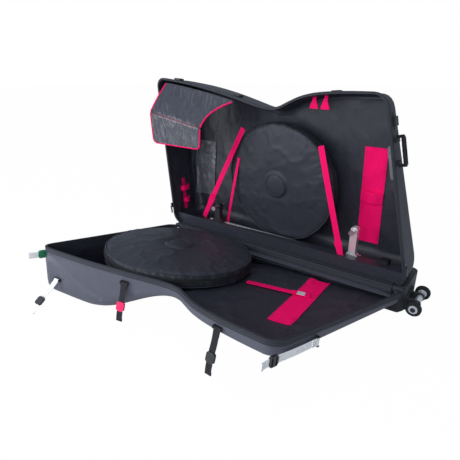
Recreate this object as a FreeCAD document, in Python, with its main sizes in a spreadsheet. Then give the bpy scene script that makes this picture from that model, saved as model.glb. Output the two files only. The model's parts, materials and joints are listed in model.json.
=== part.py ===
"""Bike travel case: a moulded upright half on a base with transport wheels, and a hinged lid lying open."""
import FreeCAD, Part
import Sketcher
import math
import os
import re
from types import SimpleNamespace
from FreeCAD import Placement, Rotation, Vector

# Driving dimensions, in millimetres and degrees
SIZES = {
    # Outline of the opening, shared by the two halves
    "foot_length": 1190,
    "foot_start": 535,
    "left_overhang": 110,
    "right_lean": 177,
    "rim_height": 765,
    "end_round": 50,
    "hinge_height": 120,
    "hinge_gap": 8,
    "hinge_relief": 20,
    "lid_open_angle": 82,
    # Walls
    "shell_wall": 4,
    "lining_cloth": 2.5,
    "seat_gap": 0.3,
    "cut_overrun": 10,
    # Depth of the upright half
    "base_depth": 220,
    "main_deep": 250,
    "main_shallow": 130,
    # Depth of the lid, whose deep end follows from the floor it lies on
    "lid_hinge_depth": 100,
    "lid_waist_foot": 60,
    "lid_tail_foot": 50,
    "lid_waist_depth": 52,
    "lid_tail_depth": 62,
    "lid_floor_gap": 0.4,
    # Zip tape round the rim
    "rim_band": 22,
    "rim_gap": 0.4,
    "rim_proud": 3,
    "rim_inset": 7,
    # Base
    "base_wall": 5,
    "base_corner": 30,
    "base_edge": 16,
    "base_rib": 6,
    "base_ledge": 66,
    # Transport axle
    "axle_reach": 38,
    "axle_height": 50,
    "axle_shaft_radius": 4,
    "axle_tube_radius": 12.5,
    "axle_inset": 85,
    "axle_side_play": 1,
    "bracket_plate": 6,
    "bracket_width": 104,
    "bracket_height": 62,
    "bracket_ear": 10,
    "bracket_ear_place": 30,
    "bracket_ear_radius": 17,
    "wheel_radius": 30,
    "wheel_width": 24,
    "wheel_hub_radius": 17,
    "wheel_hub_step": 3,
    "wheel_crown": 3,
    "wheel_track": 158,
    "running_gap": 0.08,
    "cap_radius": 9,
    "cap_thick": 3,
    # Bike stand
    "floor_pad": 10,
    "floor_pad_width": 72,
    "floor_pad_inset": 75,
    "rail_back": 140,
    "rail_width": 40,
    "rail_height": 18,
    "rail_wall": 3,
    "rail_slot": 12,
    "rail_left_inset": 175,
    "rail_right_inset": 185,
    "mount_length": 62,
    "mount_skirt": 5,
    "mount_top": 9,
    "fork_inset": 235,
    "fork_rise": 84,
    "drop_inset": 247,
    "drop_rise": 128,
    "mount_post": 30,
    "mount_neck": 30,
    "mount_head": 15,
    "stand_axle_radius": 6,
    "stand_axle_span": 104,
    "stand_axle_knob": 11,
    "stand_axle_grip": 9,
    # Wheel bags
    "lid_bag_radius": 330,
    "lid_bag_inset": 317,
    "lid_bag_rise": 350,
    "lid_bag_bed": 40,
    "lid_bag_edge": 60,
    "lid_bag_crown": 13,
    "back_bag_radius": 290,
    "back_bag_offset": 34,
    "back_bag_edge": 44,
    "back_bag_crown": 14,
    "bag_hub_radius": 62,
    "bag_hub_rise": 12,
    "bag_hub_slope": 8,
    "bag_edge_round": 16,
    # Webbing
    "webbing_thick": 2.2,
    "webbing_width": 26,
    "narrow_width": 14,
    "tape_thick": 3,
    # Padded guard over the upright half's top edge
    "guard_bead": 5,
    "guard_cloth": 6,
    "guard_reach": 100,
    "guard_splay": 22.4,
    "guard_width": 310,
    "guard_fall": 160,
    "guard_flap": 150,
    "guard_flap_bead": 3,
    # Handles
    "handle_pin": 3,
    "handle_eye": 6,
    "handle_axis": 8,
    "handle_leg": 12,
    "handle_leg_thick": 8,
    "anchor_length": 14,
    "anchor_width": 18,
    "end_handle_span": 110,
    "end_handle_reach": 20,
    "end_handle_grip": 9,
    "end_handle_fall": 235,
    "end_handle_depth": 55,
    "lid_handle_span": 56,
    "lid_handle_reach": 24,
    "lid_handle_grip": 6,
    "lid_handle_fall": 245,
    "lid_handle_depth": 60,
    # Zip sliders
    "slider_rise": 90,
    "slider_length": 24,
    "slider_width": 13,
    "slider_thick": 5,
    "slider_bridge": 8,
    "slider_pin": 1.5,
    "pull_eye": 3,
    "pull_length": 36,
    "pull_width": 9,
    "pull_thick": 2.4,
    # Closing straps
    "strap_pin": 2.5,
    "strap_axis": 8.2,
    "strap_ear": 4,
    "strap_plate": 15,
    "buckle_length": 36,
    "buckle_width": 34,
    "buckle_thick": 10,
    "buckle_bevel": 6,
    "strap_tail": 40,
    "socket_length": 66,
    "socket_depth": 62,
    "socket_fall": 125,
    "deep_strap_depth": 132,
    "deep_strap_length": 90,
    "waist_strap_depth": 46,
    "waist_strap_length": 74,
    "tail_strap_depth": 36,
    "tail_strap_length": 80,
    "end_strap_depth": 46,
    "left_strap_fall": 125,
    "left_strap_length": 96,
    "right_strap_fall": 205,
    "right_strap_length": 190,
    # Straps that hold the load, and cloth sewn to the linings
    "load_strap_left_inset": 115,
    "load_strap_left_draw": 92,
    "load_strap_left_fall": 36,
    "load_strap_thin_inset": 268,
    "load_strap_thin_draw": 64,
    "load_strap_thin_fall": 186,
    "load_strap_right_inset": 277,
    "load_strap_right_draw": 82,
    "load_strap_right_fall": 64,
    "panel_inset": 223,
    "panel_low": 80,
    "panel_fall": 245,
    "panel_width": 95,
    "patch_foot_inset": 322,
    "patch_low": 60,
    "patch_head_inset": 271,
    "patch_fall": 225,
    "patch_width": 86,
    "lid_strap_left_inset": 530,
    "lid_strap_left_rise": 318,
    "lid_strap_right_inset": 283,
    "lid_strap_right_rise": 254,
    "side_tab_depth": 95,
    "side_tab_rise": 64,
    "side_tab_length": 170,
    "side_tab_width": 45,
    "side_tab_loop": 7,
    "pocket_depth": 62,
    "pocket_fall": 345,
    "pocket_length": 140,
    "pocket_width": 64,
    "pocket_thick": 22,
    "rear_pad_inset": 133,
    "rear_pad_length": 42,
    "rear_pad_width": 50,
    "rear_pad_height": 48,
    "top_tab_inset": 473,
    "top_tab_pitch": 48,
    "top_tab_depth": 62,
    "top_tab_length": 44,
}

# Places and rises that follow from the sizes
PLACES = {
    "right_end": "=foot_length - foot_start",
    "floor_pad_start": "=floor_pad_inset - foot_start",
    "floor_pad_length": "=foot_length - 2 * floor_pad_inset",
    "rail_depth": "=base_depth - rail_back",
    "rail_start": "=rail_left_inset - foot_start",
    "rail_length": "=foot_length - rail_left_inset - rail_right_inset",
    "fork_place": "=fork_inset - foot_start",
    "drop_place": "=right_end - drop_inset",
    "lid_bag_place": "=lid_bag_inset - foot_start",
    "back_bag_place": "=foot_length / 2 - foot_start - back_bag_offset",
    "end_handle_rise": "=rim_height - end_handle_fall",
    "lid_handle_rise": "=rim_height - lid_handle_fall",
    "socket_rise": "=rim_height - socket_fall",
    "left_strap_rise": "=rim_height - left_strap_fall",
    "right_strap_rise": "=rim_height - right_strap_fall",
    "load_strap_left_foot": "=load_strap_left_inset - foot_start",
    "load_strap_left_head": "=back_bag_place - back_bag_radius + load_strap_left_draw",
    "load_strap_left_rise": "=2 * back_bag_radius - load_strap_left_fall",
    "load_strap_thin_foot": "=load_strap_thin_inset - foot_start",
    "load_strap_thin_head": "=back_bag_place - back_bag_radius + load_strap_thin_draw",
    "load_strap_thin_rise": "=2 * back_bag_radius - load_strap_thin_fall",
    "load_strap_right_foot": "=right_end - load_strap_right_inset",
    "load_strap_right_head": "=back_bag_place + back_bag_radius - load_strap_right_draw",
    "load_strap_right_rise": "=2 * back_bag_radius - load_strap_right_fall",
    "panel_place": "=right_end - panel_inset",
    "panel_high": "=rim_height - panel_fall",
    "patch_foot": "=right_end - patch_foot_inset",
    "patch_head": "=right_end - patch_head_inset",
    "patch_high": "=rim_height - patch_fall",
    "lid_strap_left": "=right_end - lid_strap_left_inset",
    "lid_strap_right": "=right_end - lid_strap_right_inset",
    "pocket_rise": "=rim_height - pocket_fall",
    "rear_pad_place": "=right_end - rear_pad_inset",
    "top_tab_place": "=right_end - top_tab_inset",
}
CELLS = {**SIZES, **PLACES}

doc = FreeCAD.newDocument("bike_travel_case")
sheet = doc.addObject("Spreadsheet::Sheet", "Sizes")
for row, (name, value) in enumerate(CELLS.items(), start=1):
    sheet.set(f"A{row}", name)
    sheet.set(f"B{row}", str(value))
    sheet.setAlias(f"B{row}", name)
doc.recompute()
mm = SimpleNamespace(**{name: float(sheet.get(name)) for name in CELLS})


# Helpers for the document
PARTS = []


def keep(obj, label):
    """Name an object as a sub-part of the case."""
    obj.Label = label
    PARTS.append(obj)
    return obj


def formula(text):
    """Point the size names in a formula at the spreadsheet."""
    return re.sub(r"[a-z_]+", lambda word: f"Sizes.{word[0]}" if word[0] in CELLS else word[0], text)


def bind(obj, **formulas):
    """Bind properties to formulas in the sheet's sizes; two underscores stand for a dot."""
    for name, text in formulas.items():
        obj.setExpression(name.replace("__", "."), formula(text))


def feature(label, shape, frame):
    """A sub-part whose shape is worked out below from the sheet's sizes."""
    obj = doc.addObject("Part::Feature", label)
    obj.Shape = shape
    obj.Placement = frame
    return keep(obj, label)


def box(label, frame, corner, span):
    """A block from a corner and its three lengths, all of them formulas, set in a frame."""
    obj = doc.addObject("Part::Box", label + "_block")
    bind(obj, Length=span[0], Width=span[1], Height=span[2])
    lift = doc.addObject("Part::Compound", label + "_seat")
    lift.Links = [obj]
    bind(obj, Placement__Base__x=corner[0], Placement__Base__y=corner[1], Placement__Base__z=corner[2])
    lift.Placement = frame
    return keep(lift, label)


def new_body(label, frame):
    body = doc.addObject("PartDesign::Body", label)
    body.Placement = frame
    return keep(body, label)


def new_sketch(body, role, offset="0"):
    """An empty sketch on one of the body's own planes, raised along the plane's normal."""
    sketch = body.newObject("Sketcher::SketchObject", f"{body.Name}_sketch")
    plane = next(item for item in body.Origin.OriginFeatures if item.Role == role)
    sketch.AttachmentSupport = [(plane, "")]
    sketch.MapMode = "FlatFace"
    bind(sketch, AttachmentOffset__Base__z=offset)
    return sketch


def polygon(sketch, corners):
    """A closed outline whose corners are pairs of formulas, measured from the sketch's origin."""
    first = sketch.GeometryCount
    count = len(corners)
    turns = [2 * math.pi * k / count for k in range(count)]
    guess = [Vector(math.cos(turn), math.sin(turn), 0) for turn in turns]
    for k in range(count):
        sketch.addGeometry(Part.LineSegment(guess[k], guess[(k + 1) % count]))
    for k in range(count):
        sketch.addConstraint(Sketcher.Constraint("Coincident", first + k, 2, first + (k + 1) % count, 1))
    for k, corner in enumerate(corners):
        pin_point(sketch, first + k, 1, corner, guess[k])


def circle(sketch, centre, radius):
    index = sketch.addGeometry(Part.Circle(Vector(1, 1, 0), Vector(0, 0, 1), 1))
    pin_point(sketch, index, 3, centre, Vector(1, 1, 0))
    number = sketch.addConstraint(Sketcher.Constraint("Radius", index, 1.0))
    sketch.setExpression(f"Constraints[{number}]", formula(radius))


def pin_point(sketch, index, end, place, guess):
    """Fix one point of a sketch at a pair of formulas."""
    pairs = (("DistanceX", place[0], guess.x, -2), ("DistanceY", place[1], guess.y, -1))
    for kind, text, value, axis in pairs:
        if text == "0":
            sketch.addConstraint(Sketcher.Constraint("PointOnObject", index, end, axis))
        else:
            number = sketch.addConstraint(Sketcher.Constraint(kind, -1, 1, index, end, value))
            sketch.setExpression(f"Constraints[{number}]", formula(text))


def pad(body, sketch, length, reverse=False):
    part = body.newObject("PartDesign::Pad", f"{body.Name}_pad")
    part.Profile = sketch
    part.Reversed = reverse
    bind(part, Length=length)
    doc.recompute()
    return part


def pocket(body, sketch, length, reverse=False):
    """A pocket, checked to take material away."""
    before = body.Shape.Volume
    part = body.newObject("PartDesign::Pocket", f"{body.Name}_pocket")
    part.Profile = sketch
    part.Reversed = reverse
    bind(part, Length=length)
    doc.recompute()
    if body.Shape.Volume >= before:
        raise ValueError(f"{body.Label}: a pocket cuts nothing")
    return part


def turned(body, corners):
    """A revolved piece: corners are (radius, height) formulas, turned about the body's Z axis."""
    sketch = new_sketch(body, "XZ_Plane")
    polygon(sketch, corners)
    part = body.newObject("PartDesign::Revolution", f"{body.Name}_turn")
    part.Profile = sketch
    part.ReferenceAxis = (sketch, ["V_Axis"])
    part.Angle = 360
    doc.recompute()
    return part


def dressed(body, base, wanted, kind, **sizes):
    """Round or bevel the edges of a feature that a test picks out."""
    edges = [f"Edge{k}" for k, edge in enumerate(base.Shape.Edges, start=1) if wanted(edge)]
    part = body.newObject(f"PartDesign::{kind}", f"{body.Name}_{kind.lower()}")
    part.Base = (base, edges)
    bind(part, **sizes)
    doc.recompute()
    return part


def rectangle(x_low, y_low, x_high, y_high):
    return [(x_low, y_low), (x_high, y_low), (x_high, y_high), (x_low, y_high)]


# Frames of the two halves: x runs along the case, depth away from the rim, rise up from the hinge line
RIM_Y = -mm.base_depth / 2
HINGE = Vector(0, RIM_Y, mm.hinge_height)
ACROSS = Vector(1, 0, 0)
MAIN = Placement(HINGE, Rotation())
LID = Placement(HINGE, Rotation(ACROSS, mm.lid_open_angle))
GROUND = Placement()

# Height of the top edge along the opening, as shares of its length and of the rim's height
CREST_SHARES = (
    (0, 1.0), (0.10, 0.987), (0.20, 0.969), (0.29, 0.947), (0.365, 0.925), (0.44, 0.900), (0.485, 0.884),
    (0.53, 0.869), (0.575, 0.861), (0.615, 0.869), (0.655, 0.899), (0.70, 0.931), (0.76, 0.955),
    (0.86, 0.970), (1, 0.976),
)
END_TURN_SHARES = (0, 0.45, 1)
WALL_DRAFT_SHARE = 0.10
MAIN_ROUND_SHARE = 0.25
LID_ROUND_SHARE = 0.30
MAIN_TURN_SHARE = 1.0
LID_TURN_SHARE = 0.3
MAIN_STEP_SHARES = (0.15, 0.75)
LID_STEP_SHARES = (0.20, 0.60)
CORNER_SHARE = 1.2
LID_SLIDE_SHARES = (0.80, 0.92)
STRAP_CHECK_SHARES = [k / 16 for k in range(1, 17)]
TAB_LOOP_SHARES = (0.28, 0.68)
GUARD_SHARES = (0.06, 0.42)
STEEPEST_SHARE = 0.95
HEAD_LENGTH = mm.foot_length + mm.left_overhang - mm.right_lean

# Closing straps of the lid: name, share of the length or side, then the names of their sizes
LID_TOP_STRAPS = (
    ("strap_deep", 0.085, "deep_strap_depth", "deep_strap_length"),
    ("strap_waist", 0.40, "waist_strap_depth", "waist_strap_length"),
    ("strap_tail", 0.815, "tail_strap_depth", "tail_strap_length"),
)
LID_END_STRAPS = (
    ("strap_left", -1, "left_strap_rise", "left_strap_length"),
    ("strap_right", 1, "right_strap_rise", "right_strap_length"),
)

# Insets of the lining's two faces
LINING_OUT = mm.shell_wall + mm.seat_gap
LINING_IN = LINING_OUT + mm.lining_cloth


def step(share, start, end):
    """A smooth step from 0 to 1 between two shares of the length."""
    rise = min(max((share - start) / (end - start), 0), 1)
    return rise * rise * (3 - 2 * rise)


def crest(share):
    """Rise of the top edge at a share of the length."""
    for (start, low), (end, high) in zip(CREST_SHARES, CREST_SHARES[1:]):
        if share <= end:
            break
    return mm.rim_height * (low + (high - low) * (share - start) / (end - start))


def main_depths(share):
    """Depth of the upright half at its foot and at its top edge."""
    fall = step(share, *MAIN_STEP_SHARES)
    return mm.base_depth, mm.main_deep + (mm.main_shallow - mm.main_deep) * fall


def lid_depths(share, deep):
    """Depth of the lid at the hinge and at its top edge, for a given depth of its deep end."""
    fall = step(share, *LID_STEP_SHARES)
    tail = step(share, LID_STEP_SHARES[1], 1)
    foot = mm.lid_hinge_depth + (mm.lid_waist_foot - mm.lid_hinge_depth) * fall
    foot += (mm.lid_tail_foot - mm.lid_waist_foot) * tail
    top = deep + (mm.lid_waist_depth - deep) * fall
    top += (mm.lid_tail_depth - mm.lid_waist_depth) * tail
    return foot, top


def stations(inset):
    """Shares of the length, each with how far its section is drawn in; both ends are quarter rounds."""
    radius = mm.end_round - inset
    turns = [math.radians(90 * share) for share in END_TURN_SHARES]
    ends = [(inset + radius * (1 - math.cos(a)), inset + radius * (1 - math.sin(a))) for a in turns]
    left = [(along / mm.foot_length, drawn) for along, drawn in ends]
    right = [(1 - share, drawn) for share, drawn in reversed(left)]
    return left + [(share, inset) for share, _ in CREST_SHARES[1:-1]] + right


def at(share, depth, rise):
    """A point of the half's own frame, on the leaning section at a share of the length."""
    foot = mm.foot_length * share - mm.foot_start
    head = HEAD_LENGTH * share - mm.foot_start - mm.left_overhang
    return Vector(foot + (head - foot) * rise / crest(share), depth, rise)


def rounded(before, corner, after, radius):
    """Start, middle and end of the arc that rounds a corner."""
    one = (before - corner).normalize()
    two = (after - corner).normalize()
    half = one.getAngle(two) / 2
    reach = radius / math.tan(half)
    middle = corner + (one + two).normalize() * (radius / math.sin(half) - radius)
    return corner + one * reach, middle, corner + two * reach


def moulded_section(corners, low, high):
    """Outline of a moulded wall: straight runs joined by two arcs."""
    edges = [
        Part.LineSegment(corners[0], low[0]),
        Part.Arc(*low),
        Part.LineSegment(low[2], high[0]),
        Part.Arc(*high),
        Part.LineSegment(high[2], corners[3]),
        Part.LineSegment(corners[3], corners[0]),
    ]
    return Part.Wire([edge.toShape() for edge in edges])


def cloth_section(corners, low, high):
    """Outline of a cloth lining, which takes the same corners in flat folds."""
    return Part.makePolygon([corners[0], low[0], low[2], high[0], high[2], corners[3], corners[0]])


def half_block(depths, round_share, turn_share, inset, start):
    """The solid block of one half, drawn in by an inset and starting at a depth behind the rim."""
    cloth = inset >= LINING_OUT
    sections = []
    for share, drawn in stations(inset):
        foot, top = (depth - inset - (drawn - inset) * turn_share for depth in depths(share))
        ridge = crest(share) - drawn
        floor = mm.hinge_gap + drawn
        corners = [
            at(share, start, floor),
            at(share, foot, floor),
            at(share, top, ridge - WALL_DRAFT_SHARE * top),
            at(share, start, ridge - WALL_DRAFT_SHARE * start),
        ]
        low = rounded(*corners[0:3], round_share * foot)
        high = rounded(*corners[1:4], round_share * top)
        sections.append(cloth_section(corners, low, high) if cloth else moulded_section(corners, low, high))
    return Part.makeLoft(sections, True, True)


def half_slab(inset, start, end):
    """A slab of the opening's outline between two depths, drawn in by an inset."""
    sections = []
    for share, drawn in stations(inset):
        ridge = crest(share) - drawn
        floor = mm.hinge_gap + drawn
        corners = [
            at(share, start, floor),
            at(share, end, floor),
            at(share, end, ridge - WALL_DRAFT_SHARE * end),
            at(share, start, ridge - WALL_DRAFT_SHARE * start),
        ]
        sections.append(Part.makePolygon(corners + corners[:1]))
    return Part.makeLoft(sections, True, True)


def flipped(shape):
    """The lid's version of a shape: its depth runs the other way."""
    return shape.mirror(Vector(), Vector(0, 1, 0))


def lowest_of_lid(deep):
    """Height of the open lid's lowest point for a given depth of its deep end."""
    tilt = math.radians(mm.lid_open_angle)
    heights = []
    for share, _ in CREST_SHARES[1:-1]:
        foot, top = lid_depths(share, deep)
        corner = at(share, top, crest(share) - WALL_DRAFT_SHARE * top)
        rim = at(share, 0, crest(share))
        arc = rounded(at(share, foot, mm.hinge_gap), corner, rim, LID_ROUND_SHARE * top)
        heights += [mm.hinge_height + p.z * math.cos(tilt) - p.y * math.sin(tilt) for p in arc]
    return min(heights)


def lid_deep_end():
    """Depth at which the open lid just meets the floor, found by halving the search each time."""
    shallow, deep = mm.lid_waist_depth, mm.rim_height
    for _ in range(40):
        middle = (shallow + deep) / 2
        if lowest_of_lid(middle) > mm.lid_floor_gap:
            shallow = middle
        else:
            deep = middle
    return shallow


LID_DEEP = lid_deep_end()


def lid_profile(share):
    return lid_depths(share, LID_DEEP)


# Moulded shells, their linings and the zip tapes
SHELL_START = mm.rim_band + mm.seat_gap


def moulded(profile, shares, outer, inner):
    """A wall between two insets of the same block, open at the rim."""
    block = half_block(profile, *shares, outer, SHELL_START)
    return block.cut(half_block(profile, *shares, inner, SHELL_START - mm.cut_overrun))


def zip_tape():
    """The band that carries the zip, open along the hinge."""
    ring = half_slab(-mm.rim_proud, mm.rim_gap, mm.rim_band)
    hole = half_slab(mm.rim_inset, mm.rim_gap - mm.cut_overrun, mm.rim_band + mm.cut_overrun)
    straight = mm.foot_length - 2 * mm.end_round + 2 * mm.hinge_relief
    corner = Vector(-mm.foot_start + mm.end_round - mm.hinge_relief, -mm.cut_overrun, -mm.cut_overrun)
    hinge_run = Part.makeBox(straight, mm.rim_band + 2 * mm.cut_overrun, mm.end_round, corner)
    return ring.cut(hole).cut(hinge_run)


for half, profile, shares, frame in (
    ("main", main_depths, (MAIN_ROUND_SHARE, MAIN_TURN_SHARE), MAIN),
    ("lid", lid_profile, (LID_ROUND_SHARE, LID_TURN_SHARE), LID),
):
    shapes = {
        f"{half}_shell": moulded(profile, shares, 0, mm.shell_wall),
        f"{half}_lining": moulded(profile, shares, LINING_OUT, LINING_IN),
        f"{half}_zip_tape": zip_tape(),
    }
    for label, shape in shapes.items():
        feature(label, flipped(shape) if half == "lid" else shape, frame)

# Hinge: a round piping on the hinge line, with a strip of cloth to each half
hinge_start = "end_round - foot_start"
hinge_run = "foot_length - 2 * end_round"
piping = doc.addObject("Part::Cylinder", "hinge_piping")
bind(piping, Radius="hinge_gap - seat_gap", Height=hinge_run)
piping.Placement = Placement(HINGE, Rotation(Vector(0, 1, 0), 90))
bind(piping, Placement__Base__x=hinge_start)
keep(piping, "hinge_piping")
strip_span = (hinge_run, "rim_band - rim_gap", "shell_wall")
box("main_hinge_strip", MAIN, (hinge_start, "rim_gap", "hinge_gap"), strip_span)
box("lid_hinge_strip", LID, (hinge_start, "-rim_band", "hinge_gap"), strip_span)

# Base: a moulded tub with cross ribs under the upright half
base = new_body("base_tub", GROUND)
base_x = ("-foot_start", "foot_length - foot_start")
base_y = ("-base_depth / 2 + hinge_gap", "base_depth / 2")
base_top = "hinge_height + hinge_gap - seat_gap"
sketch = new_sketch(base, "XY_Plane")
polygon(sketch, rectangle(base_x[0], base_y[0], base_x[1], base_y[1]))
block = pad(base, sketch, base_top)
corners = dressed(base, block, lambda edge: edge.BoundBox.ZLength > mm.base_corner, "Fillet",
                  Radius="base_corner")
dressed(base, corners, lambda edge: edge.BoundBox.ZMax < mm.seat_gap, "Chamfer", Size="base_edge")
cells = 4
sketch = new_sketch(base, "XY_Plane", base_top)
for k in range(cells):
    cell = f"((foot_length - 2 * base_ledge + base_rib) / {cells})"
    start = f"-foot_start + base_ledge + {cell} * {k}"
    end = f"{start} + {cell} - base_rib"
    polygon(sketch, rectangle(start, f"{base_y[0]} + base_wall", end, f"{base_y[1]} - base_ledge"))
pocket(base, sketch, f"{base_top} - base_wall")

# Transport axle at the foot of the wheel end
ALONG_Y = Rotation(ACROSS, -90)
AXLE = Placement(
    Vector(mm.foot_length - mm.foot_start + mm.axle_reach, RIM_Y + mm.axle_inset, mm.axle_height), ALONG_Y
)


def on_axle(offset):
    """A frame on the transport axle, its Z along the axle."""
    return AXLE.multiply(Placement(Vector(0, 0, offset), Rotation()))


bracket = new_body("axle_bracket", AXLE)
sketch = new_sketch(bracket, "XY_Plane", "-bracket_width / 2")
polygon(sketch, rectangle("-axle_reach", "-bracket_height / 2",
                          "bracket_plate - axle_reach", "bracket_height / 2"))
pad(bracket, sketch, "bracket_width")
for start in ("-bracket_ear_place - bracket_ear", "bracket_ear_place"):
    sketch = new_sketch(bracket, "XY_Plane", start)
    arm = rectangle("bracket_plate / 2 - axle_reach", "-bracket_ear_radius", "0", "bracket_ear_radius")
    polygon(sketch, arm)
    pad(bracket, sketch, "bracket_ear")
    sketch = new_sketch(bracket, "XY_Plane", start)
    circle(sketch, ("0", "0"), "bracket_ear_radius")
    pad(bracket, sketch, "bracket_ear")
sketch = new_sketch(bracket, "XY_Plane", "bracket_width / 2")
circle(sketch, ("0", "0"), "axle_tube_radius + running_gap")
pocket(bracket, sketch, "bracket_width")

tube_half = "(wheel_track / 2 - wheel_width / 2 - axle_side_play)"
shaft_half = "(wheel_track / 2 + wheel_width / 2 + axle_side_play)"
tube = new_body("axle_tube", AXLE)
turned(tube, rectangle("axle_shaft_radius + running_gap", f"-{tube_half}", "axle_tube_radius", tube_half))
shaft = new_body("axle_shaft", AXLE)
turned(shaft, rectangle("0", f"-{shaft_half}", "axle_shaft_radius", shaft_half))
caps = doc.addObject("Part::Compound", "axle_caps")
cap_list = []
for side in ("-1", "1"):
    cap = doc.addObject("Part::Cylinder", "axle_cap")
    bind(cap, Radius="cap_radius", Height="cap_thick")
    bind(cap, Placement__Base__z=f"{side} * ({shaft_half} + cap_thick / 2) - cap_thick / 2")
    cap_list.append(cap)
caps.Links = cap_list
caps.Placement = AXLE
keep(caps, "axle_caps")

for side, place in (("near", -mm.wheel_track / 2), ("far", mm.wheel_track / 2)):
    hub = new_body(f"wheel_hub_{side}", on_axle(place))
    turned(hub, rectangle("axle_shaft_radius + running_gap", "-wheel_width / 2",
                          "wheel_hub_radius", "wheel_width / 2"))
    tyre = new_body(f"wheel_tyre_{side}", on_axle(place))
    tread = "(wheel_width / 2 - wheel_hub_step)"
    turned(tyre, [
        ("wheel_hub_radius + running_gap", f"-{tread}"),
        ("wheel_radius - wheel_crown", f"-{tread}"),
        ("wheel_radius", f"wheel_crown - {tread}"),
        ("wheel_radius", f"{tread} - wheel_crown"),
        ("wheel_radius - wheel_crown", tread),
        ("wheel_hub_radius + running_gap", tread),
    ])

# Bike stand on the floor of the upright half
lining_floor = "(hinge_gap + shell_wall + lining_cloth + 2 * seat_gap)"
rail_foot = f"({lining_floor} + floor_pad)"
rail_head = f"({rail_foot} + rail_height)"
box("floor_pad", MAIN, ("floor_pad_start", "rail_depth - floor_pad_width / 2", lining_floor),
    ("floor_pad_length", "floor_pad_width", "floor_pad"))
rail = new_body("stand_rail", MAIN)
sketch = new_sketch(rail, "YZ_Plane", "rail_start")
left, right = "rail_depth - rail_width / 2", "rail_depth + rail_width / 2"
polygon(sketch, [
    (left, rail_foot), (right, rail_foot), (right, rail_head), ("rail_depth + rail_slot / 2", rail_head),
    ("rail_depth + rail_slot / 2", f"{rail_head} - rail_wall"),
    (f"{right} - rail_wall", f"{rail_head} - rail_wall"),
    (f"{right} - rail_wall", f"{rail_foot} + rail_wall"), (f"{left} + rail_wall", f"{rail_foot} + rail_wall"),
    (f"{left} + rail_wall", f"{rail_head} - rail_wall"),
    ("rail_depth - rail_slot / 2", f"{rail_head} - rail_wall"),
    ("rail_depth - rail_slot / 2", rail_head), (left, rail_head),
])
pad(rail, sketch, "rail_length")


def stand_mount(label, place, rise):
    """A saddle that slides on the rail, with a post bored for an axle."""
    mount = new_body(label, MAIN)
    near = "(rail_width / 2 + seat_gap)"
    out = f"({near} + mount_skirt)"
    seat = f"({rail_head} + seat_gap)"
    crown = f"({seat} + mount_top)"
    foot = f"({rail_head} - rail_height / 2)"
    sketch = new_sketch(mount, "YZ_Plane", f"{place} - mount_length / 2")
    polygon(sketch, [
        (f"rail_depth - {out}", foot), (f"rail_depth - {near}", foot), (f"rail_depth - {near}", seat),
        (f"rail_depth + {near}", seat), (f"rail_depth + {near}", foot), (f"rail_depth + {out}", foot),
        (f"rail_depth + {out}", crown), (f"rail_depth - {out}", crown),
    ])
    pad(mount, sketch, "mount_length")
    sketch = new_sketch(mount, "XZ_Plane", "-rail_depth - mount_post / 2")
    polygon(sketch, [
        (f"{place} - mount_length / 2", f"{seat} + mount_top / 2"),
        (f"{place} + mount_length / 2", f"{seat} + mount_top / 2"),
        (f"{place} + mount_length / 2", crown), (f"{place} + mount_neck / 2", f"{crown} + mount_neck / 2"),
        (f"{place} + mount_neck / 2", f"{rail_head} + {rise} + mount_head / 2"),
        (f"{place} + mount_neck / 4", f"{rail_head} + {rise} + mount_head"),
        (f"{place} - mount_neck / 4", f"{rail_head} + {rise} + mount_head"),
        (f"{place} - mount_neck / 2", f"{rail_head} + {rise} + mount_head / 2"),
        (f"{place} - mount_neck / 2", f"{crown} + mount_neck / 2"), (f"{place} - mount_length / 2", crown),
    ])
    pad(mount, sketch, "mount_post")
    sketch = new_sketch(mount, "XZ_Plane", "-rail_depth - mount_post / 2")
    circle(sketch, (place, f"{rail_head} + {rise}"), "stand_axle_radius + running_gap")
    pocket(mount, sketch, "mount_post", reverse=True)


def stand_axle(label, place, rise):
    """A threaded axle with a knurled knob at its front end."""
    floor = mm.hinge_gap + mm.shell_wall + mm.lining_cloth + 2 * mm.seat_gap + mm.floor_pad
    centre = Vector(place, mm.rail_depth, floor + mm.rail_height + rise)
    axle = new_body(label, MAIN.multiply(Placement(centre, ALONG_Y)))
    near = "-stand_axle_span / 2"
    turned(axle, [
        ("0", near), ("stand_axle_knob", near), ("stand_axle_knob", f"{near} + stand_axle_grip"),
        ("stand_axle_radius", f"{near} + stand_axle_grip"), ("stand_axle_radius", "stand_axle_span / 2"),
        ("0", "stand_axle_span / 2"),
    ])


for name in ("fork", "drop"):
    stand_mount(f"{name}_mount", f"{name}_place", f"{name}_rise")
    stand_axle(f"{name}_axle", getattr(mm, f"{name}_place"), getattr(mm, f"{name}_rise"))


# Inner faces of the halves
def share_at(place, rise):
    """Share of the length at which the leaning section passes a point."""
    share = 0.5
    for _ in range(8):
        lean = rise / crest(min(max(share, 0), 1))
        foot_part = mm.foot_length + (HEAD_LENGTH - mm.foot_length) * lean
        share = (place + mm.foot_start + mm.left_overhang * lean) / foot_part
    return share


INNER_FORMS = {"main": (main_depths, MAIN_ROUND_SHARE), "lid": (lid_profile, LID_ROUND_SHARE)}


def inner_depth(half, place, rise):
    """Depth of the lining's inner face at a place along the case and a rise above the hinge."""
    profile, round_share = INNER_FORMS[half]
    share = share_at(place, rise)
    foot, top = (depth - LINING_IN for depth in profile(share))
    floor = mm.hinge_gap + LINING_IN
    ridge = crest(share) - LINING_IN - WALL_DRAFT_SHARE * top
    straight = foot + (top - foot) * (rise - floor) / (ridge - floor)
    corner = CORNER_SHARE * round_share
    return min(straight, foot * (1 - corner) + rise - floor, top * (1 - corner) + ridge - rise)


BAG_GORES = 40


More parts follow.
